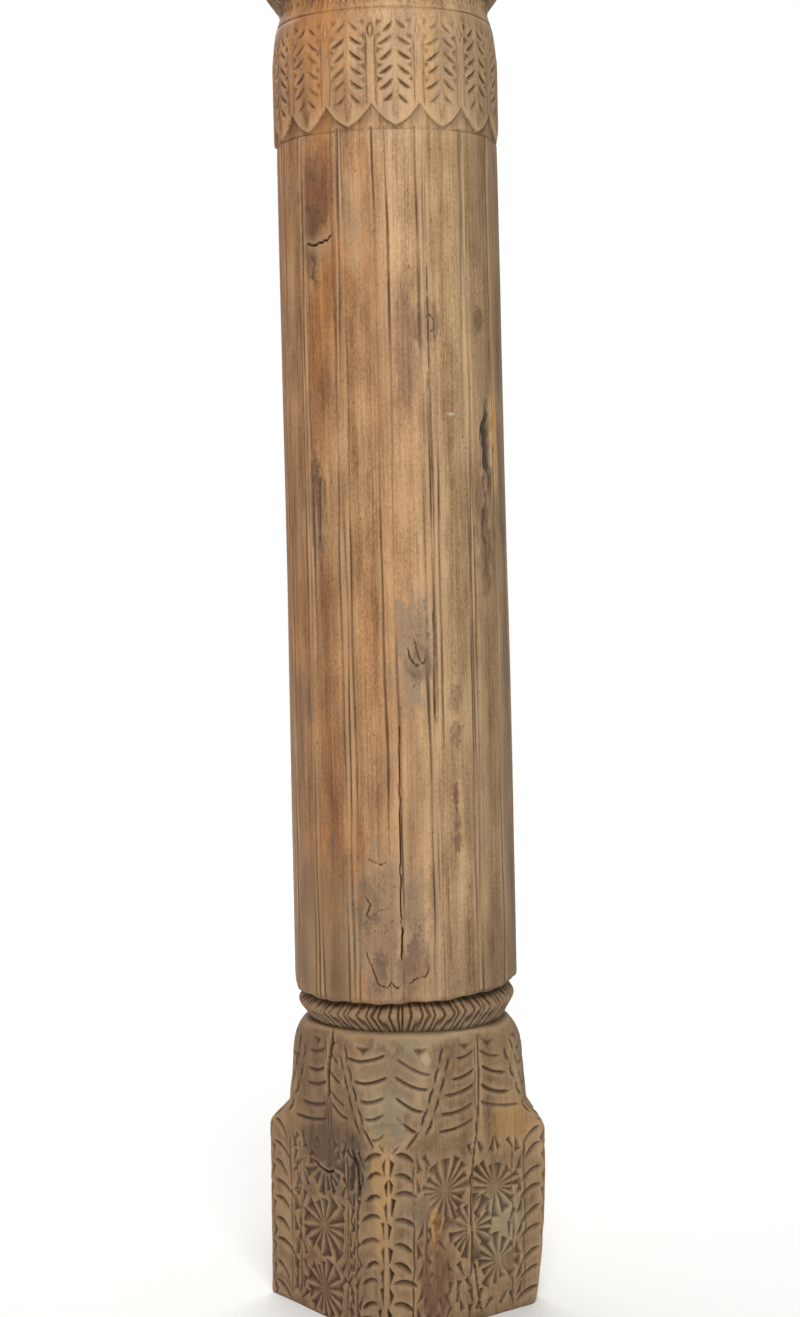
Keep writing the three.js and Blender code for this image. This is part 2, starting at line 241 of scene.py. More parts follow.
class PillarSizes(bpy.types.PropertyGroup):
    """Levels and radii of the log."""

    height: FloatProperty(
        name="Height", description="Height of the whole pillar", default=CAD_BOX[1][2],
        unit="LENGTH", precision=4)
    block_top: length("Block top", "Height where the corners of the block start to flare in", 208)
    flare_top: length("Flare top", "Height where the flare ends in the drum", 251)
    shoulder_start: length("Shoulder start", "Height where the drum starts to round in", 301)
    foot_top: length("Foot top", "Height of the foot and underside of the lower ring", 351)
    lower_edge: length("Lower ring edge", "Height of the lower ring's edge", 370)
    shaft_bottom: length("Shaft bottom", "Height of the underside of the shaft", 384)
    collar_bottom: length("Collar bottom", "Height of the points of the collar's leaves", 1388)
    collar_shoulder: length("Collar shoulder", "Height where the collar starts to round in", 1480)
    collar_top: length("Collar top", "Height of the line along the top of the collar", 1522)
    upper_bottom: length("Upper ring bottom", "Height of the underside of the upper ring", 1547)
    upper_edge: length("Upper ring edge", "Height of the upper ring's edge", 1567)
    upper_top: length("Upper ring top", "Height of the top of the upper ring", 1583)
    foot_half: length("Foot half width", "From the axis to a face of the foot", 120)
    block_corner: length("Block corner", "From the axis to a corner of the block", 166.5)
    drum_bottom: length("Drum bottom radius", "Radius of the drum where the flare ends", 143)
    drum_top: length("Drum top radius", "Radius of the drum under its shoulder", 139)
    foot_neck: length("Foot neck radius", "Radius of the foot under the lower ring", 115)
    lower_inner: length("Lower ring inner radius", "Radius at the top and bottom of the lower ring", 114)
    lower_outer: length("Lower ring outer radius", "Radius at the edge of the lower ring", 130)
    upper_inner: length("Upper ring inner radius", "Radius at the top and bottom of the upper ring", 125)
    upper_outer: length("Upper ring outer radius", "Radius at the edge of the upper ring", 140)
    shaft_foot: length("Shaft bottom radius", "Radius to the edges of the shaft at its bottom", 134.5)
    shaft_head: length("Shaft top radius", "Radius to the edges of the shaft under the collar", 130.5)
    collar: length("Collar radius", "Radius of the collar over its leaves", 133)
    top: length("Top radius", "Radius of the plain drum above the upper ring", 127)


class CarvingSizes(bpy.types.PropertyGroup):
    """Sizes of the carver's cuts."""

    shaft_sides: IntProperty(name="Shaft sides", description="Flat sides of the shaft", default=16, min=3)
    shaft_turn: angle_of("Shaft turn", "Turn of the shaft's edges from the faces of the foot", 4.5)
    chevrons: IntProperty(name="Chevrons", description="Chevrons round one ring", default=84, min=8)
    chevron_front: angle_of("Chevron front", "Angle that the chevrons point away from", -130)
    chevron_lean: angle_of("Chevron lean", "Turn of a chevron from the ring's edge to its rim", 3.8)
    notch_depth: length("Notch depth", "Depth of the notches between chevrons", 4.6)
    leaves: IntProperty(name="Leaves", description="Leaves round the collar", default=15, min=3)
    first_gap: angle_of("First leaf gap", "Angle of one gap between two leaves", -133.5)
    leaf_point: length("Leaf point", "Height of the points of the leaves", 25)
    cut_width: length("Cut width", "Width of a drooping cut", 8)
    cut_depth: length("Cut depth", "Depth of a drooping cut", 4.4)
    petals: IntProperty(name="Petals", description="Rays of one rosette", default=15, min=5)
    petal_depth: length("Petal depth", "Depth of the rays of a rosette", 4.6)
    band_pitch: length("Band pitch", "Distance of the cuts along the corners of the foot", 25)
    band_inner: length("Band start", "Distance of the band's cuts from the corner", 9)
    band_reach: length("Band reach", "Length across of the band's cuts", 36)
    band_droop: length("Band droop", "Drop of the band's cuts", 15)
    tongue_top: length("Tongue top", "Height of the top of the corner tongues", 333)
    tongue_tip: length("Tongue tip", "Height of the tip of the corner tongues", 222)
    tongue_half: angle_of("Tongue half width", "Half the width of a corner tongue at its top", 30)
    tongue_end: angle_of("Tongue tip half width", "Half the width of a corner tongue at its tip", 9)


class WoodColours(bpy.types.PropertyGroup):
    """Colours of the wood and of what time has left on it."""

    pale: colour("Pale wood", "Wood between the streaks", "#d2ae80")
    streak: colour("Streaks", "Dark streaks of the grain", "#8a6139")
    # Warm wood on the left side and grey wood on the right side also stand in as painted side shade,
    # darkening the sides that turn away from the front
    warm: colour("Warm wood", "Oiled orange wood of the left side", "#bb7738")
    warm_streak: colour("Warm streaks", "Dark streaks of the oiled wood", "#6c3b15")
    grey: colour("Grey wood", "Dry, weathered wood of the foot", "#7b6446")
    grey_streak: colour("Grey streaks", "Dark streaks of the weathered wood", "#553f2a")
    # Dark colour of old dirt in the cuts, also used as painted shade in cuts, creases, cracks and over the
    # rings; pores and flecks use it too
    dirt_and_shade: colour("Dirt", "Old dirt and soot in the cuts", "#3a2314")
    # Pale colour of edges rubbed by hands, also used as painted highlight on ridges
    worn_and_highlit: colour("Worn edges", "Edges that hands have rubbed pale", "#c9a67c")
    knot: colour("Knots", "Dark knots and stains", "#5b3d29")
    red: colour("Red stains", "Red brown resin stains", "#6f422a")
    ash: colour("Grey patches", "Rough grey patches", "#8a745d")
    broken: colour("Broken wood", "Fresh orange wood where a piece has broken off", "#bd8a46")
    # Black rotten wood, also used as painted shade on the floor of a deep hollow in the shaft
    rot: colour("Rot", "Black rotten wood", "#2d211a")
    lichen: colour("Green grey wood", "Green grey bloom on damp wood", "#918367")
    filler: colour("Filler", "Pale filling of an old hole", "#b3a283")
    floor: colour("Floor", "Matt white paper of the studio", "#efefed")


class StudioSizes(bpy.types.PropertyGroup):
    """Place of the camera and strength of the light."""

    azimuth: angle_of("Camera azimuth", "Direction of the camera from the front, round the pillar", -36.5)
    distance: length("Camera distance", "Distance of the camera from the pillar's axis", 2640)
    eye: length("Camera height", "Height of the camera above the floor", 921)
    pitch: angle_of("Camera pitch", "Turn of the camera down from level", 3.08)
    roll: angle_of("Camera roll", "Turn of the camera about its own line of sight", 1.2)
    key_power: FloatProperty(
        name="Key light", description="Power of the large front light", default=88, unit="POWER")
    floor_power: FloatProperty(
        name="Floor light", description="Power of the light over the floor behind", default=170,
        unit="POWER")
    sky: FloatProperty(
        name="Sky", description="Strength of the even white light all round", default=0.42, min=0,
        subtype="FACTOR")


def wrapped(angle):
    """Angle brought between minus half a turn and half a turn."""
    return (angle + math.pi) % FULL_TURN - math.pi


def smooth_step(value):
    """Goes from 0 to 1 with a soft start and end."""
    t = np.clip(value, 0, 1)
    return t * t * (3 - 2 * t)


def soft_min(a, b, softness):
    """Smaller of two values, rounded off where they meet."""
    gap = np.clip(0.5 + 0.5 * (b - a) / softness, 0, 1)
    return b * (1 - gap) + a * gap - softness * gap * (1 - gap)


def spaced(low, high, step):
    """Even places from low up to high, without high."""
    count = max(1, round((high - low) / step))
    return np.linspace(low, high, count, endpoint=False)


def sweep(heights):
    """How far the axis of the log has swept sideways at a height."""
    rise = heights / SWEEP_HEIGHT
    return SWEEP * rise * np.exp(1 - rise)


def edge_slant(heights, angles, sizes):
    """Rise of the shaft's lower edge, which was cut higher on one side. The ring follows it a little."""
    edge_levels = [sizes.foot_top, sizes.shaft_bottom, sizes.shaft_bottom + EDGE_FADE]
    near_edge = np.interp(heights, edge_levels, [0, 1, 0])
    shoulder_levels = [SHOULDER_FADE, sizes.foot_top - 6 * MM, sizes.shaft_bottom]
    low_shoulder = np.interp(heights, shoulder_levels, [0, 1, 0])
    right = np.clip(np.cos(angles - SWEEP_ANGLE), 0, 1)
    uneven = 0.8 * MM * np.sin(11 * angles) + 0.5 * MM * np.sin(29 * angles + 1)
    slant = EDGE_RISE + EDGE_TILT * np.cos(angles - EDGE_TILT_ANGLE) + uneven
    return near_edge * slant - SHOULDER_DROP * low_shoulder * right


class LogSurface:
    """Surface of the log unrolled: a radius, a cut depth, and dirt with painted shade, for every height and
    angle.
    """

    def __init__(self, heights, angles, rng):
        self.heights = heights
        self.angles = angles
        self.rng = rng
        shape = (len(heights), len(angles))
        self.radius = np.zeros(shape)
        self.depth = np.zeros(shape)
        # Dirt together with painted shade in cuts, creases and cracks, and the painted shade of the rings
        self.dirt_and_shade = np.zeros(shape)
        self.ring_shade = np.zeros(shape)

    def patches(self, around, up):
        """Soft random patches from -1 to 1, of about a given size around and up the log."""
        columns = max(4, round(FULL_TURN * SHAFT_RADIUS / around))
        rows = max(2, math.ceil((self.heights[-1] - self.heights[0]) / up) + 2)
        lattice = self.rng.uniform(-1, 1, (rows, columns))
        column = (self.angles + math.pi) / FULL_TURN * columns
        row = (self.heights - self.heights[0]) / up
        left = np.floor(column).astype(int)
        low = np.floor(row).astype(int)
        across = smooth_step(column - left)[None, :]
        rise = smooth_step(row - low)[:, None]
        left, right = left % columns, (left + 1) % columns
        bottom = lattice[low][:, left] * (1 - across) + lattice[low][:, right] * across
        top = lattice[low + 1][:, left] * (1 - across) + lattice[low + 1][:, right] * across
        return bottom * (1 - rise) + top * rise

    def softened(self, values, reach):
        """Mean of values over a window that reaches a distance to every side."""
        columns = max(1, round(reach / (FULL_TURN * SHAFT_RADIUS / len(self.angles))))
        ringed = np.concatenate([values[:, -columns:], values, values[:, :columns]], axis=1)
        sums = np.cumsum(np.pad(ringed, ((0, 0), (1, 0))), axis=1)
        width = 2 * columns + 1
        means = (sums[:, width:] - sums[:, :-width]) / width
        steps = np.diff(self.heights)[:, None]
        sums = np.cumsum(steps * (means[1:] + means[:-1]) / 2, 0)
        total = np.concatenate([np.zeros((1, means.shape[1])), sums])
        low = np.clip(self.heights - reach, self.heights[0], self.heights[-1])
        high = np.clip(self.heights + reach, self.heights[0], self.heights[-1])
        return (self.at_heights(total, high) - self.at_heights(total, low)) / (high - low)[:, None]

    def at_heights(self, values, heights):
        """Rows of values at other heights."""
        place = np.interp(heights, self.heights, np.arange(len(self.heights)))
        low = np.minimum(place.astype(int), len(self.heights) - 2)
        part = (place - low)[:, None]
        return values[low] * (1 - part) + values[low + 1] * part

    def sampled(self, values, angles, heights):
        """Values at any places of the surface."""
        columns = len(self.angles)
        ringed = np.append(self.angles, self.angles[0] + FULL_TURN)
        turned = (angles - self.angles[0]) % FULL_TURN + self.angles[0]
        column = np.interp(turned, ringed, np.arange(columns + 1))
        row = np.interp(heights, self.heights, np.arange(len(self.heights)))
        left = np.floor(column).astype(int)
        low = np.minimum(row.astype(int), len(self.heights) - 2)
        across, rise = column - left, row - low
        left, right = left % columns, (left + 1) % columns
        bottom = values[low, left] * (1 - across) + values[low, right] * across
        top = values[low + 1, left] * (1 - across) + values[low + 1, right] * across
        return bottom * (1 - rise) + top * rise


class Sheet:
    """Part of the log's surface laid flat, x across from a middle line and y up, to draw the carving on."""

    def __init__(self, surface, middle, reach, across):
        turn = wrapped(surface.angles - middle)
        inside = np.nonzero(np.abs(turn) < reach)[0]
        x = across(turn[inside])
        order = np.argsort(x)
        self.columns = inside[order]
        self.x = x[order]
        self.y = surface.heights
        self.surface = surface

    def press(self, low, high, depth_at):
        """Cuts depth_at(x, y) between two corners of the sheet, where it is deeper than the cuts so far."""
        first, last = np.searchsorted(self.x, [low[0], high[0]])
        bottom, top = np.searchsorted(self.y, [low[1], high[1]])
        if first == last or bottom == top:
            return
        block = np.ix_(np.arange(bottom, top), self.columns[first:last])
        cut = depth_at(self.x[None, first:last], self.y[bottom:top, None])
        self.surface.depth[block] = np.maximum(self.surface.depth[block], cut)

    def gouge(self, path, width, depth, steep=0.5, pointed=2.6):
        """One V-shaped cut along a path with pointed ends. Steep is the upper side's share of its width."""
        path = np.asarray(path, float)
        if path[0, 0] > path[-1, 0]:
            path = path[::-1]
        spans = np.linalg.norm(np.diff(path, axis=0), axis=1)
        starts = np.concatenate([[0], np.cumsum(spans)])
        total = starts[-1]

        def depth_at(x, y):
            nearest = np.full(np.broadcast(x, y).shape, np.inf)
            along = np.zeros_like(nearest)
            side = np.zeros_like(nearest)
            for (ax, ay), (bx, by), span, start in zip(path, path[1:], spans, starts):
                dx, dy = (bx - ax) / span, (by - ay) / span
                t = np.clip((x - ax) * dx + (y - ay) * dy, 0, span)
                px, py = x - ax - t * dx, y - ay - t * dy
                squared = px * px + py * py
                closer = squared < nearest
                nearest = np.where(closer, squared, nearest)
                along = np.where(closer, start + t, along)
                side = np.where(closer, dx * py - dy * px, side)
            ends = np.minimum(along, total - along)
            taper = np.sin(np.clip(ends / (pointed * width), 0, 1) * math.pi / 2)
            wall = width * np.where(side > 0, steep, 1 - steep) * taper + 1e-6
            return depth * taper * np.clip(1 - np.sqrt(nearest) / wall, 0, 1)

        self.press(path.min(axis=0) - width, path.max(axis=0) + width, depth_at)

    def chip(self, corners, depth):
        """One three-cornered chip, deepest in its middle."""
        corners = np.asarray(corners, float)
        (ax, ay), (bx, by), (cx, cy) = corners
        turn = (bx - ax) * (cy - ay) - (by - ay) * (cx - ax)
        sides = [np.linalg.norm(corners[i] - corners[i - 1]) for i in range(3)]
        inner = abs(turn) / sum(sides)

        def depth_at(x, y):
            inside = np.inf
            for i in range(3):
                (px, py), (qx, qy) = corners[i - 1], corners[i]
                away = ((qx - px) * (y - py) - (qy - py) * (x - px)) / math.hypot(qx - px, qy - py)
                inside = np.minimum(inside, away * math.copysign(1, turn))
            return depth * np.clip(inside / inner, 0, 1)

        self.press(corners.min(axis=0), corners.max(axis=0), depth_at)


def face_sheet(surface, sizes, face):
    """One flat face of the foot."""
    return Sheet(surface, face * QUARTER_TURN, 50 * DEGREE, lambda turn: sizes.foot_half * np.tan(turn))


def round_sheet(surface, middle, reach, radius):
    """A stretch of a round part of the log."""
    return Sheet(surface, middle, reach, lambda turn: radius * turn)


def arc(start, end, bow, count=7):
    """Points of a path from start to end that bows up by a height in its middle."""
    t = np.linspace(0, 1, count)
    x = start[0] + (end[0] - start[0]) * t
    y = start[1] + (end[1] - start[1]) * t + bow * 4 * t * (1 - t)
    return np.stack([x, y], axis=1)


def left_corner(angle):
    """1 at the left corner of the foot, which is fuller than the others, and 0 away from it."""
    return np.clip(np.cos(angle - (LEFT_FACE - 0.5) * QUARTER_TURN), 0, 1) ** 8


def corner_radius(sizes, z, angle):
    """Radius of the foot's corners: a block that tapers to the floor, a flare, a drum and a shoulder."""
    right_corner = np.clip(np.cos(angle - (RIGHT_FACE + 0.5) * QUARTER_TURN), 0, 1) ** 4
    at_floor = FLOOR_TAPER + RIGHT_TAPER * right_corner - FLOOR_TAPER * left_corner(angle)
    drop = np.clip(1 - z / sizes.block_top, 0, 1)
    block = sizes.block_corner + LEFT_SWELL * left_corner(angle) - at_floor * drop ** 2.2
    flare = np.clip((z - sizes.block_top) / (sizes.flare_top - sizes.block_top), 0, 1)
    drum_rise = np.clip((z - sizes.flare_top) / (sizes.shoulder_start - sizes.flare_top), 0, 1)
    drum = sizes.drum_bottom + (sizes.drum_top - sizes.drum_bottom) * drum_rise
    shoulder = np.clip((z - sizes.shoulder_start) / (sizes.foot_top - sizes.shoulder_start), 0, 1)
    drum = sizes.foot_neck + (drum - sizes.foot_neck) * np.sqrt(1 - shoulder ** 2)
    return drum + (block - drum) * (1 + np.cos(math.pi * flare)) / 2


def foot_radius(sizes, z, angle):
    """Radius of the foot: four flat faces, cut back at the corners."""
    on_face = angle - QUARTER_TURN * np.round(angle / QUARTER_TURN)
    flat = (sizes.foot_half + LEFT_FACE_SWELL * left_corner(angle)) / np.cos(on_face)
    rounded_floor = FLOOR_ROUNDING * np.exp(-z / (4 * MM))
    return soft_min(flat, corner_radius(sizes, z, angle), 4 * MM) - rounded_floor


def ring_radius(carving, z, angle, ring):
    """Radius of a ring with a sharp edge, notched in chevrons that point away from the front, and the ring's
    painted shade: half dark all over, darkest in the notches.
    """
    bottom, edge, top, inner, outer = ring
    away = np.abs(z - edge) / np.where(z < edge, edge - bottom, top - edge)
    away = np.clip(away, 0, 1)
    radius = outer - (outer - inner) * (np.sqrt(away ** 2 + 0.012) - 0.11)
    distance = np.abs(wrapped(angle - carving.chevron_front))
    lean = carving.chevron_lean * (1 - np.exp(-0.8 * distance / carving.chevron_lean))
    lean = lean * np.where(z < edge, 1.2, 0.7) * away
    uneven = 0.22 * np.sin(distance * 23) + 0.16 * np.sin(distance * 61)
    place = (distance + lean) * carving.chevrons / FULL_TURN + uneven
    slit = np.clip(1 - np.abs(place % 1 - 0.5) / 0.3, 0, 1)
    return radius - carving.notch_depth * slit * (1 - 0.35 * away), 0.5 + 0.5 * slit


def shaft_radius(sizes, carving, z, angle):
    """Radius of the shaft: a taper with flat sides."""
    rise = np.clip((z - sizes.shaft_bottom) / (sizes.collar_shoulder - sizes.shaft_bottom), 0, 1)
    radius = sizes.shaft_foot + (sizes.shaft_head - sizes.shaft_foot) * rise
    place = (angle - carving.shaft_turn) * carving.shaft_sides / FULL_TURN
    from_edge = 1 - 2 * np.abs(place - np.round(place))
    rim = RIM_ROUNDING * np.exp(-np.clip(z - sizes.shaft_bottom, 0, None) / (1.6 * MM))
    return radius - SIDE_DEPTH * (1 - from_edge ** 2) - rim


def leaf_rim(sizes, carving, angle):
    """Height of the lower rim of the collar: points at the leaves, gaps between them."""
    place = (angle - carving.first_gap) * carving.leaves / FULL_TURN
    from_point = np.abs(2 * (place - np.floor(place)) - 1)
    return sizes.collar_bottom + carving.leaf_point * from_point - 4 * MM * np.sin(math.pi * from_point)


def collar_radius(sizes, carving, z, angle, shaft):
    """Radius of the collar and the neck above it, and of the shaft where the leaves leave it bare."""
    levels = [sizes.collar_bottom, sizes.collar_shoulder, *(height * MM for height, _ in COLLAR_SHOULDER)]
    radii = [sizes.collar, sizes.collar, *(radius * MM for _, radius in COLLAR_SHOULDER)]
    levels += [sizes.collar_top, *(height * MM for height, _ in NECK), sizes.upper_bottom]
    radii += [COLLAR_TOP_RADIUS, *(radius * MM for _, radius in NECK), sizes.upper_inner]
    profile = np.interp(z, levels, radii)
    leaf = smooth_step((z - leaf_rim(sizes, carving, angle)) / (2.2 * MM) + 0.5)
    return shaft + (profile - shaft) * leaf


def shape_log(surface, sizes, carving):
    """Gives the surface the radius of the log before the fine carving."""
    z = surface.heights[:, None]
    angle = surface.angles[None, :]
    shaft = shaft_radius(sizes, carving, z, angle)
    lower_ring = (sizes.foot_top, sizes.lower_edge, sizes.shaft_bottom, sizes.lower_inner, sizes.lower_outer)
    upper_ring = (sizes.upper_bottom, sizes.upper_edge, sizes.upper_top, sizes.upper_inner, sizes.upper_outer)
    lower_radius, lower_ring_shade = ring_radius(carving, z, angle, lower_ring)
    upper_radius, upper_ring_shade = ring_radius(carving, z, angle, upper_ring)
    # Painted shade of the two rings: half dark all over, darkest in the notches
    surface.ring_shade = np.where((z > sizes.foot_top) & (z < sizes.shaft_bottom), lower_ring_shade, 0)
    on_upper = (z > sizes.upper_bottom) & (z < sizes.upper_top)
    surface.ring_shade = np.where(on_upper, upper_ring_shade, surface.ring_shade)
    stretches = [
        (z < sizes.foot_top, foot_radius(sizes, z, angle)),
        (z < sizes.shaft_bottom, lower_radius),
        (z < sizes.collar_bottom - 1 * MM, shaft),
        (z < sizes.upper_bottom, collar_radius(sizes, carving, z, angle, shaft)),
        (z < sizes.upper_top, upper_radius),
    ]
    rest = np.full(surface.radius.shape, sizes.top)
    conditions = [np.broadcast_to(where, rest.shape) for where, _ in stretches]
    surface.radius = np.select(conditions, [radius for _, radius in stretches], rest)


def carve_corner_bands(surface, sizes, carving):
    """Drooping cuts beside the corners of the foot, and chips that leave a wavy rib along each corner."""
    rng = surface.rng
    count = int(sizes.block_top / carving.band_pitch) + 1
    for face in range(4):
        sheet = face_sheet(surface, sizes, face)
        for side in (-1, 1):
            drift = BAND_DRIFT.get((face, side), 2) * MM
            for i in range(count):
                high = 20 * MM + i * carving.band_pitch + rng.normal(0, 2 * MM)
                moved = drift * max(0, 1 - high / sizes.block_top)
                near = sizes.foot_half - carving.band_inner - moved
                far = near - carving.band_reach * rng.uniform(0.75, 1.2)
                drop = carving.band_droop * rng.uniform(0.65, 1.3)
                stroke = arc((side * near, high), (side * far, high - drop), rng.uniform(4, 6.5) * MM)
                width = carving.cut_width * rng.uniform(0.85, 1.15)
                sheet.gouge(stroke, width, carving.cut_depth * rng.uniform(0.8, 1.1), steep=0.3, pointed=1.5)
                middle = high - carving.band_pitch / 2
                wavy = side * 1.8 * MM * math.sin(middle / (15 * MM) + face + (side + 1) / 2)
                rib = sizes.foot_half - rng.uniform(1.4, 4.6) * MM - moved + wavy
                wide = rng.uniform(6, 9) * MM
                corners = [(side * rib, middle - 14 * MM), (side * (rib + 1.5 * MM), middle + 11 * MM)]
                corners.append((side * (rib - wide), middle + rng.uniform(-4, 8) * MM))
                sheet.chip(corners, 6 * MM * rng.uniform(0.75, 1.1))


def carve_fillets(surface, sizes, face, panel):
    """Upright lines that frame the panel of rosettes on one face, and a row of chips beside each."""
    rng = surface.rng
    sheet = face_sheet(surface, sizes, face)
    middle, half = panel
    for side in (-1, 1):
        for offset in (0, FILLET_GAP):
            heights = np.linspace(10 * MM, 205 * MM, 12)
            x = middle + side * (half + offset) + rng.normal(0, 0.8 * MM, len(heights))
            sheet.gouge(np.stack([x, heights], axis=1), 3 * MM, 1.8 * MM, steep=0.5)
        for i in range(8):
            low = 14 * MM + i * FILLET_PITCH + rng.normal(0, 1.5 * MM)
            x = middle + side * (half + FILLET_GAP / 2)
            lean = rng.choice([-1, 1]) * 6 * MM
            sheet.chip([(x - 6 * MM, low), (x + 6 * MM, low + 3 * MM), (x + lean, low + 24 * MM)], 3.6 * MM)


def carve_rosette(surface, sizes, carving, face, place):
    """Rays like pleats round a hub: each has a steep and a broad wall and is deepest at its outer end."""
    rng = surface.rng
    sheet = face_sheet(surface, sizes, face)
    middle_x, middle_y, radius = (value * MM for value in place)
    petals = carving.petals + rng.integers(-2, 2)
    start = rng.uniform(0, FULL_TURN)
    reach = radius * rng.uniform(0.78, 1.2, petals)
    steep = rng.uniform(0.2, 0.5, petals)
    slope = rng.uniform(0.26, 0.44, petals)
    unevenness = rng.uniform(0.03, 0.1, 2)
    phase = rng.uniform(0, FULL_TURN, 2)

    def depth_at(x, y):
        away = np.hypot(x - middle_x, y - middle_y)
        turn = np.arctan2(y - middle_y, x - middle_x)
        uneven = [unevenness[i] * np.sin((i + 2) * turn + phase[i]) for i in range(2)]
        turn = turn + uneven[0] + uneven[1]
        turned = (turn - start) % FULL_TURN / FULL_TURN * petals
        petal = turned.astype(int) % petals
        across = turned - petal
        pleat = np.minimum(across / steep[petal], (1 - across) / (1 - steep[petal]))
        walls = slope[petal] * np.clip(away - 3 * MM, 0, None) * FULL_TURN / petals * pleat
        end_wall = 1.3 * np.clip(reach[petal] - away, 0, None)
        return np.minimum(np.minimum(walls, end_wall), carving.petal_depth)

    low = (middle_x - 1.2 * radius, middle_y - 1.2 * radius)
    sheet.press(low, (middle_x + 1.2 * radius, middle_y + 1.2 * radius), depth_at)


def carve_spandrels(surface, sizes, face, rosettes):
    """Chips that fill the corners between the rosettes of one face."""
    rng = surface.rng
    sheet = face_sheet(surface, sizes, face)
    for y in np.arange(18, 222, 17):
        for x in np.arange(-62, 63, 15.5):
            spot = np.array([x + rng.uniform(-4, 4), y + rng.uniform(-4, 4)])
            clear = all(np.hypot(spot[0] - rx, spot[1] - ry) > r + 6 for rx, ry, r in rosettes)
            turn = rng.choice([-1, 1]) * QUARTER_TURN + rng.normal(0, 0.5)
            if clear:
                ways = np.array([(math.cos(turn + k), math.sin(turn + k)) for k in (0, 2.5, 3.8)])
                points = spot + ways * np.array([[17], [8], [8]])
                sheet.chip(points * MM, 3.8 * MM)


def tongue_half(carving, z):
    """Half the angle of a corner tongue at a height."""
    rise = np.clip((z - carving.tongue_tip) / (carving.tongue_top - carving.tongue_tip), 0, 1)
    return carving.tongue_end + (carving.tongue_half - carving.tongue_end) * rise ** 0.65


def drum_strokes(surface, middle, borders, droops, carving):
    """Drooping cuts on both sides of a middle line, out to a border, with a chip at the top of each side."""
    rng = surface.rng
    radius = 132 * MM
    sheet = round_sheet(surface, middle, 40 * DEGREE, radius)
    for side, border, droop in zip((-1, 1), borders, droops):
        for i in range(5):
            high = carving.tongue_top - 8 * MM - i * 21 * MM + rng.normal(0, 2 * MM)
            low = high - droop * MM * rng.uniform(0.8, 1.2)
            near = rng.uniform(2, 6) * MM
            far = radius * border(low) * rng.uniform(0.85, 1) - 5 * MM
            if far - near > 9 * MM and low > carving.tongue_tip + 4 * MM:
                stroke = arc((side * near, high), (side * far, low), -rng.uniform(2.5, 4.5) * MM)
                width = rng.uniform(4.8, 6.8) * MM
                sheet.gouge(stroke, width, 3.6 * MM * rng.uniform(0.65, 1.1), steep=0.34, pointed=1.3)
        top = carving.tongue_top + 3 * MM
        x = side * radius * border(top) * 0.5
        sheet.chip([(x - 11 * MM, top), (x + 11 * MM, top), (x - side * 2 * MM, top - 11 * MM)], 3.6 * MM)


def carve_drum(surface, carving):
    """Tongues that hang over the corners of the drum and triangles that stand on its faces."""
    rng = surface.rng
    radius = 138 * MM
    for corner in range(4):
        middle = (corner + 0.5) * QUARTER_TURN
        sheet = round_sheet(surface, middle, 50 * DEGREE, radius)
        for side in (-1, 1):
            stretch = TONGUE_STRETCH.get((corner, side), 0)
            for line, shift in ((-5.5 * MM, 0), (5.5 * MM, 11 * MM)):
                for low in np.arange(carving.tongue_tip + shift, carving.tongue_top - 12 * MM, 23 * MM):
                    ends = np.array([low, low + 11 * MM, low + 21 * MM])
                    x = side * (radius * (tongue_half(carving, ends) + stretch) + line)
                    x[1] += math.copysign(1.6 * MM, line) * side
                    depth = 3.8 * MM * rng.uniform(0.8, 1.1)
                    sheet.gouge(np.stack([x, ends], axis=1), 5.6 * MM, depth, pointed=1.6)
            sheet.gouge(
                [(side * 2 * MM, carving.tongue_tip - 3 * MM), (side * 12 * MM, carving.tongue_tip + 8 * MM)],
                4 * MM, 2.6 * MM)
        borders = [
            lambda z, stretch=TONGUE_STRETCH.get((corner, side), 0): tongue_half(carving, z) + stretch
            for side in (-1, 1)
        ]
        drum_strokes(surface, middle, borders, (8, 19), carving)
    for face in range(4):
        lean = TRIANGLE_LEAN.get(face, 0)
        middle = face * QUARTER_TURN + lean

        def border(z, side):
            corner = (face + (side - 1) // 2) % 4
            stretch = TONGUE_STRETCH.get((corner, -side), 0)
            return QUARTER_TURN / 2 - side * lean - tongue_half(carving, z) - stretch - 3 * DEGREE

        borders = [lambda z, side=side: border(z, side) for side in (-1, 1)]
        drum_strokes(surface, middle, borders, (7, 14), carving)
        sheet = round_sheet(surface, middle, 20 * DEGREE, 122 * MM)
        heights = np.linspace(carving.tongue_tip + 2 * MM, carving.tongue_top + 2 * MM, 8)
        for x in (-3 * MM, 3 * MM):
            wavy = x + rng.normal(0, 0.4 * MM, len(heights))
            sheet.gouge(np.stack([wavy, heights], axis=1), 2.4 * MM, 1.4 * MM)


